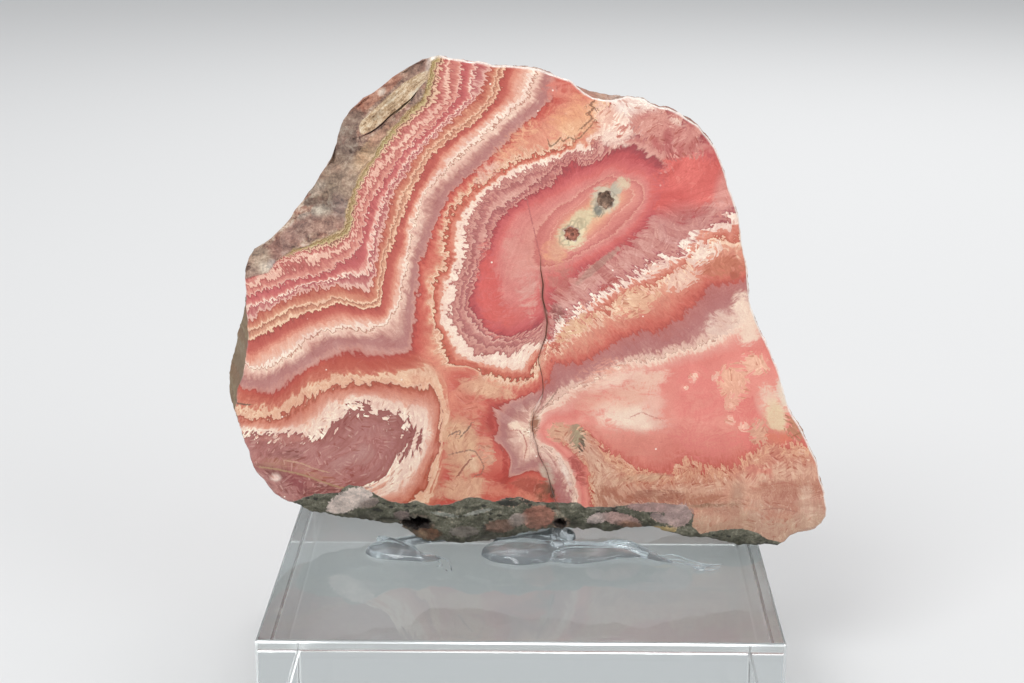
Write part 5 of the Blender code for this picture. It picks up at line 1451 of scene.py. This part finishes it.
    def _roughen(self, build: bmesh.types.BMesh) -> None:
        """Give the broken rim its small relief, inside the CAD solid's reach.

        The relief is 3 mm and 0.9 mm wide, the rind's lumps 5 mm and 1.7 mm.

        Args:
            build: Mesh whose vertices are moved.
        """
        build.normal_update()
        low = Vector(min(v.co[k] for v in build.verts) for k in range(3))
        high = Vector(max(v.co[k] for v in build.verts) for k in range(3))
        low.y += FACE_GUARD
        spots = self._spots(build)
        rough = 1.0 + 0.8 * eased(signed_distance(spots, ROCK_EDGE), -1.0, 1.0)
        rinds = eased(signed_distance(spots, RIND_EDGE), -0.5, 2.0)
        moves = []
        for vert, share, rind in zip(build.verts, rough.tolist(), rinds.tolist()):
            room = min(vert.co.y, self.depth * MM - vert.co.y) / MM
            ease = min(1.0, max(room, 0.0) / 0.8)
            place = vert.co / MM
            relief = noise.fractal(place / 3.1, 0.7, 2.2, 4) + 0.5 * noise.noise(place / 0.9)
            lump = 0.5 * relief + 0.9 * noise.noise(place / 5.0) + 0.3 * noise.noise(place / 1.7)
            way = vert.normal * (relief - 0.15) * self.roughness * share * (1.0 - 0.6 * rind)
            way.y += math.copysign(rind, vert.normal.y) * (lump - 0.2) * self.lumpiness
            moves.append(vert.co + way * ease * MM)
        for vert, spot in zip(build.verts, moves):
            if len(vert.link_faces) and min(vert.co.y, self.depth * MM - vert.co.y) > IN_PLANE:
                vert.co = Vector(min(max(spot[k], low[k]), high[k]) for k in range(3))

    def _fill(self, build: bmesh.types.BMesh, y: float, step: float) -> None:
        """Close the opening in a plane with evenly spread triangles.

        Args:
            build: Mesh with an open outline, and holes, in that plane.
            y: Height of the plane, m.
            step: Spacing of the points, mm.
        """
        edges = [e for e in build.edges
                 if len(e.link_faces) == 1 and all(abs(v.co.y - y) < IN_PLANE for v in e.verts)]
        rim = list({v for e in edges for v in e.verts})
        rim.sort(key=lambda v: v.index)
        number = {v: i for i, v in enumerate(rim)}
        border = np.array([(v.co.x / MM, v.co.z / MM) for v in rim])
        pairs = [(number[e.verts[0]], number[e.verts[1]]) for e in edges]
        ends = border[np.array(pairs)]
        lattice = self._lattice(border, ends, step)
        points = [Vector(p) for p in border.tolist() + lattice.tolist()]
        found = geometry.delaunay_2d_cdt(points, pairs, [], 0, 1e-7)
        places, triangles, sources = found[0], found[2], found[3]
        verts = []
        for place, source in zip(places, sources):
            old = [s for s in source if s < len(rim)]
            verts.append(rim[old[0]] if old else build.verts.new((place.x * MM, y, place.y * MM)))
        # A triangle with all its corners on the rim may lie outside it, or be too thin to count.
        on_rim = [any(s < len(rim) for s in source) for source in sources]
        doubtful = [t for t in triangles if all(on_rim[i] for i in t)
                    and geometry.area_tri(*(places[i] for i in t)) > SLIVER]
        keep = set()
        if doubtful:
            middles = np.array([[sum(places[i][k] for i in t) / 3 for k in (0, 1)] for t in doubtful])
            keep = {tuple(t) for t, ok in zip(doubtful, inside(middles, ends)) if ok}
        for t in triangles:
            if not all(on_rim[i] for i in t) or tuple(t) in keep:
                build.faces.new([verts[i] for i in t])

    @staticmethod
    def _lattice(border: np.ndarray, ends: np.ndarray, step: float) -> np.ndarray:
        """Spread points over an opening, clear of its rim.

        Args:
            border: Points of the rim, mm.
            ends: Both ends of each edge of the rim, mm.
            step: Spacing of the points, mm.

        Returns:
            Rows of points, mm.
        """
        low, high = border.min(0), border.max(0)
        rows = np.arange(low[1] + step / 2, high[1], step * 0.87)
        lattice = np.array([(x + (step / 2 if i % 2 else 0.0), z) for i, z in enumerate(rows)
                            for x in np.arange(low[0], high[0], step)])
        lattice = lattice[inside(lattice, ends)]
        clear = np.ones(len(lattice), bool)
        for part in np.array_split(np.concatenate([border, ends.mean(1)]), 24):
            near = ((lattice[:, None] - part[None]) ** 2).sum(-1).min(1)
            clear &= near > (0.62 * step) ** 2
        return lattice[clear]

    def _store_fields(self, mesh: bpy.types.Mesh) -> None:
        """Store the growth field and the local masks on the mesh's vertices.

        Args:
            mesh: The finished mesh.
        """
        co = np.empty(len(mesh.vertices) * 3)
        mesh.vertices.foreach_get("co", co)
        co = co.reshape(-1, 3) / MM
        depths = co[:, 1]
        spots = np.stack([co[:, 0], co[:, 2] - BLOCK_TOP], -1)
        values = self._growth_values(spots)
        values["sawn"] = (depths > self.depth - 0.05).astype(float)
        rough = np.clip(1 - values["rock"], 0, 1) * np.clip(1 - values["rind"], 0, 1)
        values["skin"] = np.clip((depths - 0.5) / 0.6, 0, 1) * (1 - values["sawn"]) * rough
        # The rim's pale front edge, on the top and right only: partly chips, partly a painted highlight
        # where light catches it.
        lit = eased(spots[:, 0], -24, -16) * eased(spots[:, 1], 4, 10)
        values["edge"] = eased(depths, 0.0, 0.4) * eased(depths, 1.3, 0.7) * rough * lit
        shares = [hollow.share(spots, 1.25) for hollow in HOLLOWS]
        in_hollow = np.max(shares, axis=0) * eased(depths, 0.05, 0.5) * (depths < HOLLOW_FLOOR)
        values["hollow"] = in_hollow
        tints = {}
        values["seam"], values["seam_near"], tints["seam_tint"] = self._trace(spots)
        values["cloud"], tints["cloud_tint"] = self._paint(spots, CLOUDS)
        values["piece"], piece_tint = self._paint(spots, FRAGMENTS)
        values["laths"] = np.maximum(values["laths"], 0.8 * eased(values["piece"], 0.0, 0.35))
        values["stain"], stain_tint = self._paint(spots, RIND_STAINS)
        inner = np.clip(values["rind"] + 1.0, 0, 1)[:, None]
        piece_tint = piece_tint * (1 - inner) + stain_tint * inner
        for share, hollow in zip(shares, HOLLOWS):
            share = np.clip(share * 4, 0, 1)[:, None] * (in_hollow > 0)[:, None]
            piece_tint = piece_tint * (1 - share) + np.array(srgb(hollow.colour)) * share
        tints["piece_tint"] = piece_tint
        for name in self.FIELDS:
            mesh.attributes.new(name, "FLOAT", "POINT").data.foreach_set(
                "value", values[name].astype(np.float32))
        for name in self.TINTS:
            mesh.attributes.new(name, "FLOAT_COLOR", "POINT").data.foreach_set(
                "color", tints[name].astype(np.float32).ravel())

    def _growth_values(self, spots: np.ndarray) -> dict[str, np.ndarray]:
        """Work out what depends on the spot alone: the growth, its parts, edges and the crack.

        Args:
            spots: (x, h) rows, mm.

        Returns:
            Values by the field's name.
        """
        values = {n: self.growth.at(n, spots) for n in ("level", "along", "across", "pace")}
        values["pace"] = np.clip(values["pace"], 0.05, 0.8)
        for name, ring, blend in (("right", RIGHT_OF_CRACK, 0.4), ("low", LOWER_LEFT, 1.5),
                                  ("between", BETWEEN_CENTRES, 2.0)):
            values[name] = np.clip(0.5 + signed_distance(spots, ring) / blend, 0, 1)
        right, low, between = (values[name] for name in ("right", "low", "between"))
        for name, table in (("teeth", TEETH), ("blades", BLADES), ("lines", LINES), ("laths", LATHS)):
            by_part = {k: np.interp(values["level"], *zip(*t)) for k, t in table.items()}
            mixed = by_part["fan"] * (1 - right) + by_part["right"] * right
            values[name] = mixed * (1 - low) + by_part["low"] * low
        values["blades"] = np.maximum(values["blades"], 0.9 * between)
        values["laths"] = np.maximum(values["laths"], 0.55 * between * eased(spots[:, 0], -6, -9))
        for name, ring in (("rock", ROCK_EDGE), ("rind", RIND_EDGE), ("splinter", SPLINTER)):
            values[name] = np.clip(signed_distance(spots, ring), -FAR, FAR)
        values["crack"] = np.clip(nearest(spots, CRACK)[0], -FAR, FAR)
        values["gape"] = np.interp(spots[:, 1], *zip(*GAPE))
        return values

    @staticmethod
    def _paint(spots: np.ndarray, patches: Sequence[Patch]) -> tuple[np.ndarray, np.ndarray]:
        """Lay a set of patches over each other.

        Args:
            spots: (x, h) rows, mm.
            patches: Patches, the last on top.

        Returns:
            Cover and linear colour at each spot.
        """
        tint = np.tile(np.array(srgb(patches[0].colour)), (len(spots), 1))
        cover = np.zeros(len(spots))
        for patch in patches:
            weight = patch.weight(spots)
            below = cover * (1 - np.clip(weight, 0, 1))
            share = (weight / np.maximum(below + weight, 1e-6))[:, None]
            tint = tint * (1 - share) + np.array(srgb(patch.colour)) * share
            cover = np.maximum(cover, weight)
        return cover, tint

    @staticmethod
    def _trace(spots: np.ndarray) -> tuple[np.ndarray, np.ndarray, np.ndarray]:
        """Find the nearest seam.

        Args:
            spots: (x, h) rows, mm.

        Returns:
            Signed distance to it in mm, its weight nearby, and its linear colour.
        """
        away = np.full(len(spots), SEAM_REACH)
        near = np.zeros(len(spots))
        tint = np.tile(np.array(srgb(SEAMS[0].colour)), (len(spots), 1))
        for seam in SEAMS:
            distance = nearest(spots, seam.path)[0]
            closer = np.abs(distance) < np.abs(away)
            away = np.where(closer, distance, away)
            near = np.where(closer, seam.weight * eased(np.abs(distance), 1.4, 0.7), near)
            tint[closer] = srgb(seam.colour)
        return np.clip(away, -FAR, FAR), near, tint


# ---- the block and the glue ----------------------------------------------------------------------
@dataclass
class AcrylicBlock:
    """The clear block, which is the CAD solid itself.

    Attributes:
        finish: Its surface.
    """

    finish: AcrylicFinish = AcrylicFinish()

    def dress(self, solid: bpy.types.Object) -> bpy.types.Object:
        """Give the block its finish.

        Args:
            solid: CAD node of the block.

        Returns:
            The same node.
        """
        solid.data.materials.clear()
        solid.data.materials.append(self.finish.build())
        return solid


# Runs of glue on the block, each a row of stations: x, y, half width and height, mm.
LEFT_RUNS: tuple[tuple[Station, ...], ...] = (
    ((-31.0, -3.2, 1.4, 1.0), (-30.0, -3.5, 3.2, 1.9), (-28.4, -3.7, 4.3, 2.3), (-26.4, -4.1, 4.4, 2.2),
     (-24.8, -5.2, 3.4, 2.0), (-22.6, -7.0, 1.8, 1.6), (-20.6, -8.0, 1.2, 1.2), (-18.8, -7.8, 1.2, 1.0),
     (-17.6, -7.3, 0.7, 0.6)),
    ((-30.6, 0.4, 0.6, 2.2), (-28.2, -1.0, 0.7, 2.5), (-25.6, -3.2, 0.7, 2.4), (-23.2, -5.8, 0.6, 2.0),
     (-20.8, -7.6, 0.5, 1.6), (-18.6, -7.6, 0.5, 1.2)),
    ((-28, -1, 1.6, 1.8), (-24, 2.5, 2.4, 1.2), (-20, 4, 2.4, 1.0), (-16, 4.5, 1.6, 0.8)),
)
MAIN_RUNS: tuple[tuple[Station, ...], ...] = (
    ((-6.3, -3.6, 1.2, 0.9), (-5.4, -4.1, 3.4, 2.0), (-3.6, -4.3, 5.2, 2.6), (-1.2, -4.4, 6.4, 2.8),
     (1.0, -4.4, 6.2, 2.7), (3.0, -3.7, 4.8, 2.4), (4.4, -3.0, 3.2, 2.2)),
    ((3.2, -2.6, 2.4, 2.3), (5.4, -2.2, 1.9, 2.3), (7.4, -2.2, 2.0, 2.6), (9.8, -2.8, 2.4, 2.2)),
    ((2.4, -7.6, 1.3, 1.7), (4.6, -7.8, 0.7, 1.0), (6.2, -8.1, 0.6, 0.9), (7.8, -8.4, 0.9, 1.1),
     (9.2, -8.2, 1.5, 1.6)),
    ((7.9, -6.2, 0.7, 1.0), (8.8, -5.9, 2.8, 1.8), (11, -5.9, 4.1, 2.1), (14, -5.6, 3.7, 2.0),
     (18, -4.9, 2.5, 1.8), (21.4, -4.9, 1.5, 1.5), (24.7, -5.5, 1.0, 1.3), (27.4, -7.0, 0.9, 1.1),
     (29.6, -8.2, 0.6, 0.7), (31, -8.7, 0.35, 0.4)),
    ((4.6, -4.2, 0.5, 2.4), (7, -3.9, 0.8, 2.9), (10, -3.8, 0.8, 2.8), (14, -3.8, 0.8, 2.7),
     (18, -3.6, 0.7, 2.5), (22, -4.2, 0.6, 2.2), (25, -6.0, 0.5, 1.8), (28.5, -8.2, 0.4, 1.2)),
    ((9.6, -2.2, 1.2, 2.2), (13, -1.2, 0.8, 1.9), (16.5, -0.8, 0.7, 1.6), (19, 0.0, 0.8, 1.8),
     (21.6, 0.0, 0.8, 1.7), (23.8, -1.2, 0.6, 1.5), (26, -3.8, 0.5, 1.3), (28.5, -6.6, 0.45, 1.0),
     (30.7, -8.4, 0.35, 0.5)),
    ((7.2, -3.0, 1.0, 2.5), (7.4, -1.0, 0.8, 3.0), (7.5, 0.9, 1.2, 3.6), (7.6, 3.0, 1.9, 3.8),
     (7.4, 5.5, 2.4, 3.4)),
    ((-3, 2.5, 3.6, 1.2), (3, 4.5, 4.2, 1.6), (8, 5.5, 3.4, 2.4)),
)
# Threads pulled off the nozzle: radius, then x, y and height above the block, mm.
LEFT_THREADS: tuple[Thread, ...] = (
    (0.2, ((-18.4, -7.2, 0.7), (-17.2, -8.8, 0.9), (-15.6, -9.8, 0.7), (-14.8, -11.9, 0.25),
           (-14.5, -14.4, 0.2))),
    (0.17, ((-18.0, -7.8, 0.5), (-17.4, -10.2, 0.6), (-16.6, -11.4, 0.25), (-17.6, -12.2, 0.2))),
    (0.17, ((-16.4, -13.4, 0.2), (-15.6, -14.4, 0.25), (-15.4, -15.0, 0.2))),
)
MAIN_THREADS: tuple[Thread, ...] = (
    (0.22, ((28.4, -7.6, 0.9), (31.2, -6.6, 0.9), (34.4, -9.0, 0.7), (36.7, -10.4, 0.5),
            (39.0, -10.6, 0.25), (41.2, -10.2, 0.2))),
    (0.2, ((29.6, -8.4, 0.5), (32.4, -8.6, 0.6), (34.6, -11.2, 0.4), (36.2, -13.2, 0.25),
           (38.7, -13.4, 0.25), (40.6, -12.2, 0.2))),
    (0.17, ((29.8, -8.6, 0.4), (33.0, -10.4, 0.4), (35.0, -12.0, 0.9), (37.8, -11.6, 0.5),
            (39.6, -11.8, 0.2))),
    (0.17, ((33.6, -8.4, 0.2), (35.2, -10.8, 0.3), (37.2, -12.6, 0.25))),
    (0.4, ((35.2, -12.2, 0.3), (36.4, -12.8, 0.45), (37.4, -12.4, 0.3))),
    (0.3, ((36.6, -10.8, 0.3), (37.6, -11.6, 0.3), (38.6, -11.4, 0.3))),
)


@dataclass
class GlueBead:
    """Hot-melt glue squeezed out at the foot of the stone: rounded runs melted into one skin.

    Attributes:
        name: Name of the object.
        runs: Runs of glue that melt together.
        threads: Thin threads that lie on the block.
        grain: Size of the facets of the skin, mm.
        run_step: Spacing of the drops that a run is made of, mm.
        thread_step: Spacing of the rings of a thread, mm.
        sides: Number of sides of a thread.
        lift: Gap between the block and the glue, mm.
        clearance: Gap kept under the stone, mm.
    """

    name: str
    runs: tuple[tuple[Station, ...], ...]
    threads: tuple[Thread, ...]
    grain: float = 0.2
    run_step: float = 0.45
    thread_step: float = 0.3
    sides: int = 8
    lift: float = 0.03
    clearance: float = 0.12

    def build(self, stone: BVHTree) -> bpy.types.Object:
        """Build and dress the bead, kept clear of the stone above it.

        Args:
            stone: Search tree of the finished stone.

        Returns:
            A new object at the frame's origin.
        """
        mesh = self._melted()
        base = (BLOCK_TOP + self.lift) * MM
        for vert in mesh.vertices:
            z = max(vert.co.z, base)
            hit = stone.ray_cast(Vector((vert.co.x, vert.co.y, BLOCK_TOP * MM)), Vector((0, 0, 1)))[0]
            if hit is not None:
                z = max(base, min(z, hit.z - self.clearance * MM))
            vert.co.z = z
        build = bmesh.new()
        build.from_mesh(mesh)
        for radius, points in self.threads:
            self._tube(build, radius, points)
        for face in build.faces:
            face.smooth = True
        build.to_mesh(mesh)
        build.free()
        mesh.materials.append(GlueFinish().build())
        bead = bpy.data.objects.new(self.name, mesh)
        bpy.context.scene.collection.objects.link(bead)
        return bead

    def _melted(self) -> bpy.types.Mesh:
        """Return the runs as one smooth closed skin."""
        build = bmesh.new()
        for run in self.runs:
            for x, y, half, height in self._along(run, self.run_step):
                place = Matrix.Translation(Vector((x, y, BLOCK_TOP)) * MM)
                size = Matrix.Diagonal((half * MM, half * MM, height * MM, 1.0))
                bmesh.ops.create_icosphere(build, subdivisions=2, radius=1.0, matrix=place @ size)
        raw = made(self.name + "_runs", build)
        melt = raw.modifiers.new("melt", "REMESH")
        melt.mode = "VOXEL"
        melt.voxel_size = self.grain * MM
        soft = raw.modifiers.new("soften", "SMOOTH")
        soft.factor = 0.5
        soft.iterations = 10
        seen = raw.evaluated_get(bpy.context.evaluated_depsgraph_get())
        melted = bpy.data.meshes.new_from_object(seen)
        bpy.data.objects.remove(raw)
        return melted

    @staticmethod
    def _along(points: Sequence[Sequence[float]], step: float) -> np.ndarray:
        """Follow a smooth curve through points.

        Args:
            points: Rows of x, y and what else changes along the curve, mm.
            step: Spacing of the rows returned, mm.

        Returns:
            Rows spaced evenly along the curve.
        """
        rows = np.array(points, float)
        rows = np.concatenate([rows[:1] * 2 - rows[1:2], rows, rows[-1:] * 2 - rows[-2:-1]])
        parts = []
        for a, b, c, d in zip(rows[:-3], rows[1:-2], rows[2:-1], rows[3:]):
            count = max(2, int(np.hypot(*(c - b)[:2]) / step) + 1)
            t = np.linspace(0.0, 1.0, count, endpoint=False)[:, None]
            parts.append(0.5 * (2 * b + (c - a) * t + (2 * a - 5 * b + 4 * c - d) * t ** 2
                                + (3 * b - 3 * c + d - a) * t ** 3))
        return np.concatenate(parts + [rows[-2:-1]])

    def _tube(self, build: bmesh.types.BMesh, radius: float,
              points: Sequence[tuple[float, float, float]]) -> None:
        """Add a closed tube that thins towards its ends.

        Args:
            build: Mesh to add to.
            radius: Radius in the middle, mm.
            points: x, y and height above the block, mm.
        """
        rows = self._along(points, self.thread_step)
        ways = np.gradient(rows, axis=0)
        rings = []
        for i, (row, way) in enumerate(zip(rows, ways)):
            thin = radius * (0.45 + 0.55 * math.sin(math.pi * i / (len(rows) - 1)) ** 0.5)
            side = Vector((way[1], -way[0], 0.0)).normalized()
            up = Vector(way).cross(side).normalized()
            centre = Vector((row[0], row[1], BLOCK_TOP + max(row[2], self.lift + thin)))
            ring = []
            for k in range(self.sides):
                angle = math.tau * k / self.sides
                out = (side * math.cos(angle) + up * math.sin(angle)) * thin
                ring.append(build.verts.new((centre + out) * MM))
            rings.append(ring)
        for one, two in zip(rings, rings[1:]):
            for k in range(self.sides):
                after = (k + 1) % self.sides
                build.faces.new((one[k], one[after], two[after], two[k]))
        build.faces.new(rings[0][::-1])
        build.faces.new(rings[-1])


# ---- the stage -----------------------------------------------------------------------------------
@dataclass
class Studio:
    """Pale floor, soft lights and the camera.

    Attributes:
        camera_spot: Camera location, mm.
        pitch: How far the camera looks down, degrees.
        yaw: How far it turns to the left, degrees.
        lens: Focal length on a 36 mm sensor, mm.
        lights: Name, location in mm and power in W of each soft light.
        light_side: Side of a light, mm.
        light_aim: Height above the floor that the lights face, mm.
        floor_half: Half the floor's side, m.
        floor_gap: How far the floor lies below the block, m.
    """

    camera_spot: tuple[float, float, float] = (4.45, -406.56, 186.02)
    pitch: float = 15.284
    yaw: float = 0.959
    lens: float = 72.07
    lights: tuple[tuple[str, tuple[float, float, float], float], ...] = (
        ("key", (-520, -840, 1040), 8.5), ("fill", (840, -760, 600), 3.3),
        ("rear", (240, 840, 920), 5.2))
    light_side: float = 640.0
    light_aim: float = 80.0
    floor_half: float = 3.0
    floor_gap: float = 0.0002

    def build(self) -> None:
        """Add the floor, the lights, the world and the camera."""
        self._floor()
        for name, spot, power in self.lights:
            self._light(name, spot, power)
        world = bpy.data.worlds.new("soft room")
        world.use_nodes = True
        world.node_tree.nodes["Background"].inputs[0].default_value = srgb("e4e6e8")
        world.node_tree.nodes["Background"].inputs[1].default_value = 0.68
        bpy.context.scene.world = world
        bpy.context.scene.view_settings.view_transform = "Standard"
        camera = bpy.data.objects.new("camera", bpy.data.cameras.new("camera"))
        camera.data.lens = self.lens
        camera.data.sensor_width = 36.0
        camera.data.clip_start = 0.01
        camera.location = [c * MM for c in self.camera_spot]
        camera.rotation_euler = (math.radians(90.0 - self.pitch), 0.0, math.radians(self.yaw))
        bpy.context.scene.collection.objects.link(camera)
        bpy.context.scene.camera = camera

    def _floor(self) -> None:
        """Add the pale floor, a wide sheet that dips at its far edges."""
        build = bmesh.new()
        bmesh.ops.create_grid(build, x_segments=24, y_segments=24, size=self.floor_half)
        for vert in build.verts:
            vert.co.z = -self.floor_gap - 0.02 * max(0.0, vert.co.xy.length - 2.0)
        floor = made("floor", build)
        floor.data.materials.append(FloorFinish().build())

    def _light(self, name: str, spot: tuple[float, float, float], power: float) -> None:
        """Add a square soft light that faces the stone.

        Args:
            name: Name of the light.
            spot: Location, mm.
            power: Power, W.
        """
        data = bpy.data.lights.new(name, "AREA")
        data.shape = "SQUARE"
        data.size = self.light_side * MM
        data.energy = power
        light = bpy.data.objects.new(name, data)
        light.location = [c * MM for c in spot]
        aim = Vector((0.0, 0.0, self.light_aim * MM)) - light.location
        light.rotation_euler = aim.to_track_quat("-Z", "Y").to_euler()
        bpy.context.scene.collection.objects.link(light)


def main() -> None:
    """Dress every part of the frame and set the stage."""
    logging.basicConfig(level=logging.INFO, format="%(message)s")
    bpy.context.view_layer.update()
    growth = GrowthField()
    LOG.info("growth field solved")
    stone = StoneSlab(growth).build(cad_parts["rhodochrosite_slice"])
    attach(stone, "root")
    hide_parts("rhodochrosite_slice")
    LOG.info("stone: %d triangles", len(stone.data.polygons))
    tree = BVHTree.FromPolygons([v.co for v in stone.data.vertices],
                                [p.vertices[:] for p in stone.data.polygons])
    for node, runs, threads in (("glue_bead_left", LEFT_RUNS, LEFT_THREADS),
                                ("glue_bead_main", MAIN_RUNS, MAIN_THREADS)):
        bead = GlueBead(node.replace("glue_bead", "glue"), runs, threads).build(tree)
        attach(bead, "root")
        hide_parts(node)
        LOG.info("%s: %d faces", bead.name, len(bead.data.polygons))
    block = AcrylicBlock().dress(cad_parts["acrylic_block"])
    LOG.info("block dressed")
    Studio().build()


if __name__ == "__main__":
    main()
